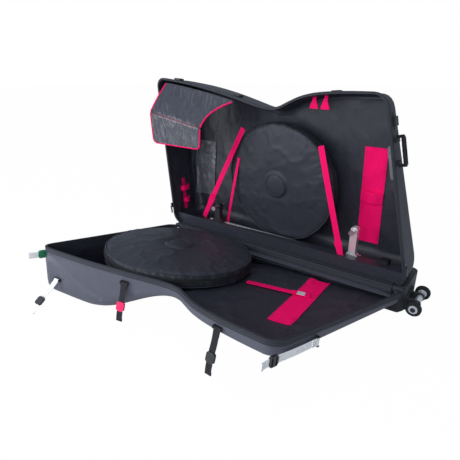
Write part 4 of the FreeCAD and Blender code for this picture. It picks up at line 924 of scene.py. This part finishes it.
# %% Two bags
VOXEL, PIPING, HUB_PIPING, ZIP_THICK = 0.0065, 0.0028, 0.0022, 0.0008
BAG_ZIP = (
    (0.0004, -0.008), (0.0016, -0.0074), (0.0018, -0.0022), (0.0008, -0.0012),
    (0.0008, 0.0012), (0.0018, 0.0022), (0.0016, 0.0074), (0.0004, 0.008),
)
belly = max(lid_depth_of(v.co) for v in frame["nodes"]["lid_wheel_bag"].data.vertices) - LID_BED
BAGS = {
    "lid_wheel_bag": (0.330, 0.060, 0.013, belly, lid_bag_place, "lid"),
    "back_wheel_bag": (0.290, 0.044, 0.014, 0, back_bag_place, "upright_half"),
}
for node, (radius, edge, crown, under, place, body) in BAGS.items():
    draft = bag_cloth(radius, edge, crown, under, VOXEL)
    tree = surface_of(draft)
    bm = bmesh.new()
    bm.from_mesh(draft.data)
    bpy.data.objects.remove(draft)
    for v in bm.verts:
        v.co = place(v.co)
    cloth = finish_piece(f"{node}_cover", bm, [MATERIALS["bag"]], body, [node], sharp=80)

    bm = bmesh.new()
    turns = [2 * math.pi * k / 144 for k in range(144)]
    cords = [(radius, edge + 0.004, PIPING), (radius, -0.002, PIPING)]
    cords.append((HUB_PAD + 0.002, edge + 0.05, HUB_PIPING))
    for reach, height, size in cords:
        seat = []
        for a in turns:
            spot, normal, _, _ = tree.find_nearest(Vector((reach * math.cos(a), reach * math.sin(a), height)))
            seat.append(place(spot + normal * 0.0008))
        tube(bm, seat, size, closed=True)
    piping = finish_piece(f"{node}_piping", bm, [MATERIALS["rim"]], body)

    bm = bmesh.new()
    rows = []
    for a in turns:
        out = Vector((math.cos(a), math.sin(a), 0))
        rows.append([])
        for off, up in BAG_ZIP:
            spot = tree.find_nearest(out * (radius + 0.02) + Vector((0, 0, 0.55 * edge + up)))[0]
            rows[-1].append(place(Vector((spot.x, spot.y, 0.55 * edge + up)) + out * off))
    loft(bm, rows, ring=True)
    bmesh.ops.solidify(bm, geom=bm.faces[:], thickness=ZIP_THICK)
    zip_tape = finish_piece(f"{node}_zip", bm, [MATERIALS["dark_cloth"]], body)
    if body == "lid":
        bed = place(Vector((0, 0, 0)))
        upward = (place(Vector((0, 0, 1))) - bed).normalized()
        for piece in (cloth, piping, zip_tape):
            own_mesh(piece)
    print(cloth.name, len(cloth.data.polygons), "faces")

# %% [markdown]
# ## Straps
# Three red load straps run from the floor pad up to the back bag, and the two wide ones are doubled near
# the foot. Five closing straps hang from bars on the lid, and each has a sewn eye, a run to its buckle
# and a loose tail. Simulated straps would miss their buckles, so the paths are drawn: the frame's joints
# give each bar, and the buckle's place gives the way that the strap runs.

# %% Box-shaped nodes
def corners_of(node):
    """The different points of a node's mesh."""
    corners = {tuple(round(c, 6) for c in v.co) for v in frame["nodes"][node].data.vertices}
    return [Vector(c) for c in sorted(corners)]


def slab(node):
    """Centre, and the three (direction, half length) pairs, longest first, of a box-shaped node."""
    points = corners_of(node)
    centre = sum(points, Vector()) / len(points)
    sides = []
    for side in sorted((p - points[0] for p in points[1:]), key=lambda v: v.length):
        if all(abs(side.normalized().dot(other.normalized())) < 0.02 for other in sides):
            sides.append(side)
    return centre, [(side.normalized(), side.length / 2) for side in reversed(sides)]


print("the red panel is", [round(2 * half, 3) for _, half in slab("back_panel")[1]], "m")


# %% Load straps
def sway(x, size):
    """A small drift from side to side along a strap."""
    return size * noise.noise(Vector((x * 9, size * 300, 1)))


for node, reach in (("load_strap_left", 0.30), ("load_strap_thin", 0.0), ("load_strap_right", 0.20)):
    centre, ((ahead, half_run), (side, half_width), (through, half_thick)) = slab(node)
    ahead = ahead if ahead.z > 0 else -ahead
    front = through if through.y < 0 else -through
    bm = bmesh.new()
    path = []
    for k in range(41):
        t = k / 40
        lift = 0.0035 * math.sin(math.pi * t) + abs(sway(t, 0.0012))
        path.append(centre + ahead * (half_run * (2 * t - 1)) + front * lift)
    ribbon(bm, path, side, 2 * half_width, 2 * half_thick)
    if reach:
        count = int(40 * reach)
        lifts = [0.0026 + 0.010 * ease(k, 0.72 * count, count) for k in range(count - 1)]
        tail = [p + front * lift for p, lift in zip(path[1:count], lifts)]
        wide = [2 * half_width + 0.010 * ease(k, 0.3 * count, 0.8 * count) for k in range(len(tail))]
        ribbon(bm, tail, side, wide, 2 * half_thick)
    for t in (0.55, 0.62):
        spot = path[int(40 * t)] + front * (half_thick + 0.0003)
        stitches(bm, spot - side * (0.8 * half_width), spot + side * (0.8 * half_width), front, 0)
    strap = finish_piece(f"{node}_webbing", bm, [MATERIALS["red"]], "upright_half", [node])
    print(strap.name, round(2 * half_run, 3), "m long")

# %% Closing straps
WEBBING, WEBBING_WIDTH, EYE = 0.0022, 0.026, 0.0040
BUCKLE, SEAT, TAIL, CURL = 0.036, 0.0003, 0.040, 0.0045
JOINTS = {joint["child"]: joint for joint in frame["joints"]}
STRAPS = {
    "deep": (0.090, "pale"), "waist": (0.074, "dark"), "tail": (0.080, "dark"), "left": (0.096, "pale"),
    "right": (0.190, "pale"),
}


def swing(body):
    """Place and axis of the joint that carries a body."""
    return Vector(JOINTS[body]["pos_m"]), Vector(JOINTS[body]["axis"])


def square_to(axis, way):
    """The part of a direction that is square to an axis, at length 1."""
    return (way - axis * way.dot(axis)).normalized()


for name, (length, colour) in STRAPS.items():
    pos, axis = swing(f"{name}_strap")
    bar = -axis if axis.x < 0 else axis
    low, high = (Vector(corner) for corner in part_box(f"strap_{name}_buckle"))
    ahead = square_to(axis, (low + high) / 2 - pos)
    out = bar.cross(ahead)
    turns = [math.radians(50 + 30 * k) for k in range(9)]
    lap = [(0.030, 0.0026), (0.022, 0.0026), (0.013, 0.0028), (0.0075, 0.0034)]
    lap += [(EYE * math.cos(a), EYE * math.sin(a)) for a in turns] + [(0.0052, -0.0014), (0.010, -0.0001)]
    for k in range(21):
        lap.append((0.014 + (length - 0.014) * k / 20, 0.0022 * math.sin(math.pi * k / 20)))
    bm = bmesh.new()
    ribbon(bm, [pos + ahead * y + out * z for y, z in lap], bar, WEBBING_WIDTH, WEBBING)
    start = length + BUCKLE + 2 * SEAT
    loose = [(start + TAIL * k / 12, CURL * (k / 12) ** 2) for k in range(13)]
    ribbon(bm, [pos + ahead * y + out * z for y, z in loose], bar, WEBBING_WIDTH, WEBBING)
    turned = [0.028 + 0.011 * k / 4 for k in range(5)]
    fold_end = [(start + run, CURL * (run / TAIL) ** 2 + 0.0023) for run in turned]
    ribbon(bm, [pos + ahead * y + out * z for y, z in fold_end], bar, WEBBING_WIDTH, WEBBING)
    for y in (0.016, 0.027):
        spot = pos + ahead * y + out * 0.0039
        stitches(bm, spot - bar * 0.010, spot + bar * 0.010, out, 1)
    cloths = [MATERIALS[colour], MATERIALS["dark_cloth"]]
    finish_piece(f"{name}_strap_webbing", bm, cloths, f"{name}_strap", [f"strap_{name}"])
print("closing straps:", list(STRAPS))

# %% [markdown]
# ## Cloth on the linings
# A red panel, a red patch and a crumpled film lie on the linings. A flat sheet would cut through the
# creases below it, so each point is dropped on to the lining by a ray, lifted a little, and the sheet is
# thickened afterwards. The lid's strap follows its solid. The tabs under the top edge and on the left
# wall are webbing, bent into loops.

# %% Panels
def draped(bm, half, centre, ahead, side, out, half_run, half_width, lift, thick,
           steps=(48, 14), crumple=0.0008):
    """A sheet dropped on to a lining, as rows of points; it is thickened afterwards."""
    tree = surface_of(LININGS[half])
    rows = []
    for i in range(steps[0] + 1):
        s = -half_run + 2 * half_run * i / steps[0]
        rows.append([])
        for j in range(steps[1] + 1):
            u = -half_width + 2 * half_width * j / steps[1]
            start = centre + ahead * s + side * u
            spot = tree.ray_cast(start + out * 0.020, -out, 0.15)[0] or start
            low = min(max((spot - start).dot(out), -0.060), 0.004)
            rows[-1].append(start + out * (low + lift + crumple * turbulence(start, 0.06)))
    loft(bm, rows)
    bmesh.ops.recalc_face_normals(bm, faces=bm.faces)
    bm.faces.ensure_lookup_table()
    if bm.faces[0].normal.dot(out) < 0:
        bmesh.ops.reverse_faces(bm, faces=bm.faces)
    bmesh.ops.solidify(bm, geom=bm.faces[:], thickness=thick)
    return rows


PANEL_LIFT, PANEL_THICK = 0.0032, 0.0022
FLAP_WIDTH, FLAP_THICK = 0.052, 0.0024
PANELS = {"back_panel": ("main", "upright_half"), "lid_patch": ("lid", "lid")}
for node, (half, body) in PANELS.items():
    centre, ((ahead, half_run), (side, half_width), (through, _)) = slab(node)
    out = through if (INSIDE[half] - centre).dot(through) > 0 else -through
    bm = bmesh.new()
    rows = draped(bm, half, centre, ahead, side, out, half_run - 0.002, half_width - 0.001,
                  PANEL_LIFT, PANEL_THICK)
    area = sum(face.calc_area() for face in bm.faces) / 2
    for column in (1, -2):
        for one, two in zip(rows, rows[1:]):
            stitches(bm, one[column] + out * 0.0003, two[column] + out * 0.0003, out, 1, pitch=0.009)
    if node == "back_panel":
        band = rows[len(rows) // 2]
        lifts = [0.004 + 0.010 * math.sin(math.pi * k / (len(band) - 1)) for k in range(len(band))]
        ribbon(bm, [p + out * lift for p, lift in zip(band, lifts)], ahead, FLAP_WIDTH, FLAP_THICK)
    cloths = [MATERIALS["red_cloth"], MATERIALS["dark_cloth"]]
    sheet = finish_piece(f"{node}_cloth", bm, cloths, body, [node], sharp=60)
    print(sheet.name, round(area, 4), "m2")

# %% Film and lid strap
FILM, FILM_WIDTH, FILM_LENGTH = Vector((-0.476, 0.085, 0.400)), 0.110, 0.300
FILM_LIFT, FILM_THICK, FILM_CRUMPLE = 0.0055, 0.0012, 0.0030
FILM_UP, FILM_OUT = Vector((0, 0, 1)), Vector((0.45, -0.89, 0)).normalized()
bm = bmesh.new()
draped(bm, "main", FILM, FILM_UP, FILM_OUT.cross(FILM_UP), FILM_OUT, FILM_LENGTH / 2, FILM_WIDTH / 2,
       FILM_LIFT, FILM_THICK, (60, 24), FILM_CRUMPLE)
film = finish_piece("left_film", bm, [MATERIALS["film"]], "upright_half", sharp=60)

centre, ((ahead, half_run), (side, half_width), (through, half_thick)) = slab("lid_strap")
out = through if through.z > 0 else -through
bm = bmesh.new()
path = []
for k in range(31):
    lift = out * abs(sway(k / 30, 0.002)) * math.sin(math.pi * k / 30)
    path.append(centre + ahead * (half_run * (k / 15 - 1)) + lift)
ribbon(bm, path, side, 2 * half_width + 0.006, 2 * half_thick)
tongue = [p + out * 0.0026 for p in path[21:]]
ribbon(bm, tongue, side, [0.030 + 0.012 * ease(k, 0, 4) for k in range(len(tongue))], 2 * half_thick)
finish_piece("lid_strap_webbing", bm, [MATERIALS["red"]], "lid", ["lid_strap"])
print(film.name, FILM_WIDTH, "x", FILM_LENGTH, "m, lid strap", round(2 * half_run, 3), "m")

# %% Tabs
TAB_Y, TAB_TOP, TAB_DROP, TAB_TURN = -0.0469, 0.838, 0.052, 0.002
bm = bmesh.new()
for x in (0.182, 0.230):
    drop = [Vector((x, TAB_Y, TAB_TOP - TAB_DROP * k / 10)) for k in range(11)]
    turn = []
    for a in (0.6, 1.2, 1.9, 2.5):
        turn.append(Vector((x, TAB_Y - TAB_TURN + TAB_TURN * math.cos(a), 0.7855 - TAB_TURN * math.sin(a))))
    back = [Vector((x, -0.0509 - 0.003 * math.sin(math.pi * k / 8), 0.786 + 0.044 * k / 8)) for k in range(9)]
    wide = [0.014 + 0.022 * ease(k, 3, 10) for k in range(11)] + [0.036] * 4
    wide += [0.036 - 0.020 * ease(k, 0, 7) for k in range(9)]
    ribbon(bm, drop + turn + back, Vector((1, 0, 0)), wide, 0.0020)
finish_piece("top_tab_loops", bm, [MATERIALS["red"]], "upright_half", ["top_tabs"])

WALL_FOOT, SIDE_TAB = Vector((-0.5375, -0.015, 0.184)), 0.170
WALL_UP, WALL_IN = Vector((-0.1421, 0, 0.9899)), Vector((0.9899, 0, 0.1421))
ACROSS = Vector((0, 1, 0))
bm = bmesh.new()
path = []
for k in range(25):
    lift = 0.0062 + abs(sway(k / 24, 0.0016))
    path.append(WALL_FOOT + WALL_UP * (SIDE_TAB * k / 24) + WALL_IN * lift)
ribbon(bm, path, ACROSS, 0.024, 0.0024)
for share, wide, reach in ((0.30, 0.024, 0.0180), (0.70, 0.027, 0.0290)):
    seat = WALL_FOOT + WALL_UP * (SIDE_TAB * share)
    bow = []
    for k in range(17):
        a = math.pi * k / 16
        bow.append(seat + ACROSS * (reach * math.cos(a)) + WALL_IN * (0.0086 + 0.0220 * math.sin(a) ** 0.6))
    ribbon(bm, bow, WALL_UP, wide, 0.0020)
finish_piece("side_tab_webbing", bm, [MATERIALS["red"]], "upright_half", ["side_tab"])
print("tabs and panels made")

# %% [markdown]
# ## Guard
# The guard hangs from the rim in two padded panels with a crease between them. It could be one simulated
# sheet, but the crease has to stay on its joint, so that the panels fold as the solids do. So each panel
# is lofted from a formula for its outline. Fine upright crinkles run over both, and the edges are bound
# in red.

# %% Guard outline
BEAD, BEAD_RUN = Vector((-0.5776, -0.110, 0.8667)), Vector((0.4043, 0, -0.0654))
CREASE, CREASE_RUN = Vector((-0.600, -0.210, 0.725)), Vector((0.310, 0, -0.0502))
HEM = 0.577
UPPER_OUT = (CREASE - BEAD).cross(BEAD_RUN).normalized()
UPPER_OUT = UPPER_OUT if UPPER_OUT.y < 0 else -UPPER_OUT
RUN = BEAD_RUN.normalized()
DOWN = UPPER_OUT.cross(RUN)
DOWN = DOWN if DOWN.z < 0 else -DOWN


def guard_upper(u, v):
    """A point of the upper panel, from the bead at v = 0 to the crease at v = 1; its right edge is hollow."""
    drawn = v + (1 - (1 - v) ** 2.4 - v) * u ** 4
    top, low = BEAD + BEAD_RUN * u, CREASE + CREASE_RUN * u
    rise = top.z + (low.z - top.z) * v - 0.006 * (2 * u - 1) ** 2 * (1 - v) ** 2
    bulge = UPPER_OUT * (0.004 * math.sin(math.pi * v))
    return Vector((top.x + (low.x - top.x) * drawn, top.y + (low.y - top.y) * v, rise)) + bulge


def guard_lower(u, v):
    """A point of the lower panel, from the crease to the hem; the hem's corners are rounded."""
    low = CREASE + CREASE_RUN * u
    turn = min(max(v - 0.84, 0) / 0.16, 1)
    x = low.x + (0.018 * (1 - u) ** 2 - 0.003 * u) * v
    x += 0.022 * (1 - math.sqrt(1 - turn * turn)) * (1 - 2 * u)
    return Vector((x, low.y, low.z + (HEM - low.z) * v))


print("the guard hangs", round(BEAD.z - HEM, 3), "m down from its bead")

# %% Guard panels
STEPS = [k / 30 for k in range(31)]
SIDE_STEPS = STEPS[1:-1]
GUARD_EDGE, GUARD_PAD, BINDING = 0.0008, 0.0017, 0.0036
CREASE_AT = {"guard_upper": 0.985, "guard_lower": 0.015}


def guard_panel(name, node, body, point, out, edges):
    """One panel with its binding and seam."""
    bm = bmesh.new()
    wide, tall = 130, 60
    rows = []
    for i in range(tall + 1):
        v = i / tall
        sides = []
        for face in (1, -1):
            line = []
            for j in range(wide + 1):
                u = j / wide
                p = point(u, v)
                rim = min(ease(u, 0, 0.03), ease(1 - u, 0, 0.03))
                crease = ease(v, 0, 0.08) * ease(1 - v, 0, 0.08)
                lean = Vector((p.x + 0.25 * (p.z - 0.7), p.y, p.z))
                ripple = 0.0013 * turbulence(lean, 0.013, (1.0, 0.3, 0.16))
                ripple += 0.0026 * fold(lean, 0.030, (1.0, 0.3, 0.22)) ** 2
                thick = GUARD_EDGE + GUARD_PAD * rim
                line.append(p + out * (face * thick + (ripple - 0.0008) * rim * crease))
            sides.append(line if face > 0 else line[::-1])
        rows.append(sides[0] + sides[1])
    loft(bm, rows, closed=True, caps=True)
    for edge in edges:
        tube(bm, [point(u, v) for u, v in edge], BINDING, material=1)
    for one, two in zip(STEPS, STEPS[1:]):
        seam = point(one, CREASE_AT[node]) + out * 0.0031, point(two, CREASE_AT[node]) + out * 0.0031
        stitches(bm, *seam, out, 1, pitch=0.0055)
    cloths = [MATERIALS["guard"], MATERIALS["red_cloth"]]
    panel = finish_piece(name, bm, cloths, body, [node], sharp=70)
    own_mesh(panel)
    return panel


upper = guard_panel("guard_upper_panel", "guard_upper", "guard", guard_upper, UPPER_OUT,
                    [[(side, v) for v in SIDE_STEPS] for side in (0, 1)])
hem = [(0, v) for v in STEPS[1:]] + [(u, 1) for u in STEPS[1:]] + [(1, 1 - v) for v in SIDE_STEPS]
lower = guard_panel("guard_lower_panel", "guard_lower", "guard_flap", guard_lower, Vector((0, -1, 0)), [hem])
print(upper.name, len(upper.data.polygons), lower.name, len(lower.data.polygons))

# %% [markdown]
# ## Pads, pouch and handles
# The pads are foam blocks with soft edges, and the pouch on the right wall is thin film, crumpled. A
# bevelled box has flat faces, so each block is lofted from rounded rectangles that swell and crumple. The
# carry handle has a padded grip on two webbing loops, and the lid's grab handle is a smaller one of the
# same make. The frame's joints give their places.

# %% Soft blocks
def cushion(bm, centre, sides, soft, swell, crumple):
    """A soft block: rounded rectangles lofted along its longest side, with crumpled faces."""
    (ahead, run), (side, wide), (up, tall) = sides
    soft = min(soft, 0.95 * tall)
    ends = [soft * (1 - math.cos(math.pi / 2 * k / 5)) for k in range(6)]
    places = [(-run + reach, math.sqrt(max(soft ** 2 - (soft - reach) ** 2, 0))) for reach in ends]
    middle = max(int(run / 0.008), 8)
    places += [(-run + soft + 2 * (run - soft) * k / middle, soft) for k in range(1, middle)]
    places += [(-place, reach) for place, reach in reversed(places[:6])]
    rows = []
    for place, reach in places:
        ring = []
        w, t = wide - soft + reach, tall - soft + reach
        for k in range(48):
            a = 2 * math.pi * (k + 0.5) / 48
            c, s = math.cos(a), math.sin(a)
            power = 0.28
            u = w * math.copysign(abs(c) ** power, c)
            h = t * math.copysign(abs(s) ** power, s)
            puff = swell * (1 - (place / run) ** 4) * (1 - min(abs(u) / wide, 1) ** 4) * math.copysign(1, h)
            p = centre + ahead * place + side * u + up * (h + puff)
            rough = up * (crumple * turbulence(p, 0.030))
            ring.append(p + rough * math.copysign(1, h) * (1 - min(abs(u) / wide, 1) ** 6))
        rows.append(ring)
    loft(bm, rows, closed=True, caps=True)


print("soft blocks can be lofted")

# %% Pads and pouch
X, Y, Z = Vector((1, 0, 0)), Vector((0, 1, 0)), Vector((0, 0, 1))
POCKET_UP, POCKET_IN = Vector((-0.2308, 0, 0.9730)), Vector((-0.9730, 0, -0.2308))
POCKET = Vector((0.5488, -0.048, 0.540)) + POCKET_UP * 0.070 + POCKET_IN * 0.0113
SOFT_BLOCKS = (
    ("floor_pad_foam", "floor_pad", Vector((0.060, -0.030, 0.1401)),
     ((X, 0.519), (Y, 0.0355), (Z, 0.0047)), 0.004, 0.0, 0.0002, "foam", "pad_foam"),
    ("rear_pad_foam", "rear_pad", Vector((0.543, -0.030, 0.1694)),
     ((Y, 0.0245), (Z, 0.0235), (X, 0.0203)), 0.006, 0.0008, 0.0004, "foam", "pad_foam"),
    ("end_pocket_pouch", "end_pocket", POCKET,
     ((POCKET_UP, 0.069), (Y, 0.031), (POCKET_IN, 0.0085)), 0.008, 0.002, 0.0022, "film", "pocket_film"),
)
for name, node, centre, sides, soft, swell, crumple, material, slot in SOFT_BLOCKS:
    bm = bmesh.new()
    cushion(bm, centre, sides, soft, swell, crumple)
    if material == "film":
        rim = centre + POCKET_UP * 0.060
        hem = []
        for k in range(21):
            a = math.pi * k / 20
            hem.append(rim + Y * (0.0305 * math.cos(a)) + POCKET_IN * (0.0035 + 0.0075 * math.sin(a)))
        ribbon(bm, hem, POCKET_UP, 0.012, 0.0016, material=1)
    cloths = [MATERIALS[material], MATERIALS["dark_cloth"]]
    pad = finish_piece(name, bm, cloths, "upright_half", [node], sharp=50)
    print(pad.name, len(pad.data.polygons), "faces")

# %% Handles
HANDLES = (
    ("carry_handle_grip", "end_handle", "carry_handle", 0.110, 0.020, 0.0088),
    ("grab_handle_grip", "lid_handle", "grab_handle", 0.056, 0.024, 0.0058),
)
LEG, LOOP, LOOP_THICK, SEAM = 0.0116, 0.0042, 0.0020, 0.0009
for name, node, body, span, reach, grip in HANDLES:
    pos, run = swing(body)
    corners = corners_of(node)
    out = square_to(run, sum(corners, Vector()) / len(corners) - pos)
    side = out.cross(run)
    bm = bmesh.new()
    rows = []
    half_run = span / 2 + LEG / 2
    for k in range(41):
        t = k / 20 - 1
        size = grip * (0.62 + 0.38 * (1 - abs(t) ** 8)) * (1 - 0.06 * abs(math.sin(9 * t)))
        seat = pos + run * (half_run * t)
        rows.append([seat + side * (size * c) + out * (reach + 0.94 * size * s) for c, s in CIRCLE])
    loft(bm, rows, closed=True, caps=True)
    for end in (-1, 1):
        turns = [math.radians(20 - 220 * k / 10) for k in range(11)]
        lap = [(LOOP, reach - 0.5 * grip), (LOOP, 0.5 * reach)]
        lap += [(LOOP * math.cos(a), LOOP * math.sin(a)) for a in turns]
        lap += [(-LOOP, 0.5 * reach), (-LOOP, reach - 0.5 * grip)]
        seat = pos + run * (end * span / 2)
        ribbon(bm, [seat + side * y + out * z for y, z in lap], run, LEG, LOOP_THICK, material=1)
    seam = [pos + run * (half_run * 0.9 * (k / 20 - 1)) + out * (reach + 0.95 * grip) for k in range(41)]
    tube(bm, seam, SEAM, material=1)
    cloths = [MATERIALS["dark_cloth"], MATERIALS["dark"]]
    finish_piece(name, bm, cloths, body, [node], sharp=60)
print("handles:", [handle[0] for handle in HANDLES])

# %% [markdown]
# ## Hard pieces
# The base, the wheels, the stand and the small fittings are rigid, and the construction has their exact
# form. Made again, they might no longer fit. So they keep their construction meshes. Each gets its
# material, and its edges are rounded by a bevel that is worked out when the picture is made.

# %% Dress the hard pieces
HARD = {
    "base": (0.0030, ("base_tub",)),
    "black": (0.0009, ("axle_bracket", "axle_caps", "fork_mount", "strap_deep_buckle", "strap_tail_buckle",
                       "strap_right_buckle", "end_handle_anchors", "lid_strap_tabs", "main_strap_sockets",
                       "zip_slider_right", "zip_slider_left", "zip_slider_right_pull",
                       "zip_slider_left_pull")),
    "alloy": (0.0006, ("axle_tube", "stand_rail", "drop_mount")),
    "steel": (0.0004, ("axle_shaft", "fork_axle", "drop_axle", "lid_handle_anchors")),
    "rubber": (0.0010, ("wheel_tyre_near", "wheel_tyre_far")),
    "hub": (0.0006, ("wheel_hub_near", "wheel_hub_far", "lid_strap_slide")),
    "red_plastic": (0.0009, ("strap_waist_buckle",)),
    "green": (0.0009, ("strap_left_buckle",)),
}
for material, (width, nodes) in HARD.items():
    for node in nodes:
        obj = frame["nodes"][node]
        obj.data.materials.clear()
        obj.data.materials.append(MATERIALS[material])
        weld = obj.modifiers.new("weld", "WELD")
        weld.merge_threshold = 0.00002
        edge = obj.modifiers.new("bevel", "BEVEL")
        edge.width = width
        edge.segments = 2
        edge.limit_method = "ANGLE"
        edge.angle_limit = math.radians(40)
        edge.harden_normals = True
print("dressed:", sum(len(nodes) for _, nodes in HARD.values()), "hard pieces")

# %% [markdown]
# ## Stage, light and camera
# The case stands in a plain white studio. A floor that is lit up to white would bleach the case as well,
# so this one is pale and reads as white to the camera, but still takes a faint shadow. One large soft
# light stands on the left, one hangs above, and a weaker one fills from the camera's side.

# %% Floor
FLOOR_RADIUS, FLOOR_DROP = 14, 0.0005


def camera_white(name, strength, keep):
    """A floor that mixes its own shading with plain white for rays from the camera."""
    material = bpy.data.materials.new(name)
    material.use_nodes = True
    tree = material.node_tree
    shader = tree.nodes["Principled BSDF"]
    shader.inputs["Base Color"].default_value = (0.86, 0.86, 0.87, 1)
    shader.inputs["Roughness"].default_value = 0.9
    light = tree.nodes.new("ShaderNodeEmission")
    light.inputs["Strength"].default_value = strength
    path = tree.nodes.new("ShaderNodeLightPath")
    share = math_node(tree, "MULTIPLY", path.outputs["Is Camera Ray"], keep)
    mix = tree.nodes.new("ShaderNodeMixShader")
    tree.links.new(share, mix.inputs[0])
    tree.links.new(shader.outputs[0], mix.inputs[1])
    tree.links.new(light.outputs[0], mix.inputs[2])
    tree.links.new(mix.outputs[0], tree.nodes["Material Output"].inputs["Surface"])
    return material


bm = bmesh.new()
bmesh.ops.create_circle(bm, cap_ends=True, radius=FLOOR_RADIUS, segments=64,
                        matrix=Matrix.Translation((0, 0, -FLOOR_DROP)))
mesh = bpy.data.meshes.new("floor")
bm.to_mesh(mesh)
bm.free()
mesh.materials.append(camera_white("floor", 1.0, 0.985))
floor = bpy.data.objects.new("floor", mesh)
bpy.context.collection.objects.link(floor)
floor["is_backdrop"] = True
print("the floor is", 2 * FLOOR_RADIUS, "m wide")

# %% Sky
scene = bpy.context.scene
scene.view_settings.view_transform = "Standard"
sky = bpy.data.worlds.new("studio")
sky.use_nodes = True
scene.world = sky
tree = sky.node_tree
back = tree.nodes["Background"]
path = tree.nodes.new("ShaderNodeLightPath")
hue = tree.nodes.new("ShaderNodeMix")
hue.data_type = "RGBA"
hue.inputs[6].default_value = (0.80, 0.88, 1.0, 1)
hue.inputs[7].default_value = (1, 1, 1, 1)
tree.links.new(path.outputs["Is Camera Ray"], hue.inputs[0])
tree.links.new(hue.outputs[2], back.inputs["Color"])
span = tree.nodes.new("ShaderNodeMapRange")
span.inputs["To Min"].default_value = 0.40
span.inputs["To Max"].default_value = 1.0
tree.links.new(path.outputs["Is Camera Ray"], span.inputs["Value"])
tree.links.new(span.outputs[0], back.inputs["Strength"])
print("the sky is", sky.name)


# %% Lights
def area_light(name, place, target, size, power):
    """A round soft light that looks at a target."""
    light = bpy.data.lights.new(name, "AREA")
    light.shape = "DISK"
    light.size = size
    light.energy = power
    light.color = (0.95, 0.97, 1.0)
    lamp = bpy.data.objects.new(name, light)
    lamp.location = place
    lamp.rotation_mode = "QUATERNION"
    lamp.rotation_quaternion = (Vector(target) - Vector(place)).to_track_quat("-Z", "Y")
    bpy.context.collection.objects.link(lamp)


area_light("left_light", (-2.3, -2.9, 1.35), (-0.1, -0.4, 0.3), 2.4, 82)
area_light("top_light", (-0.2, -0.6, 3.4), (0, -0.3, 0.3), 2.6, 24)
area_light("front_light", (0.7, -3.3, 1.6), (0, -0.2, 0.4), 2.0, 42)

print("lights:", [light.name for light in bpy.data.lights])

# %% Camera
eye, target = Vector((0.940, -1.816, 0.999)), Vector((-0.236, -0.312, 0.312))
lens = bpy.data.cameras.new("camera")
lens.sensor_width = 36
lens.lens = 34.37
lens.shift_x, lens.shift_y = 0.075, -0.0404
camera = bpy.data.objects.new("camera", lens)
camera.location = eye
camera.rotation_mode = "QUATERNION"
camera.rotation_quaternion = (target - eye).to_track_quat("-Z", "Y")
bpy.context.collection.objects.link(camera)
scene.camera = camera
print("the camera's lens is", round(lens.lens, 2), "mm")

# %% Finish
low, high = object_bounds()
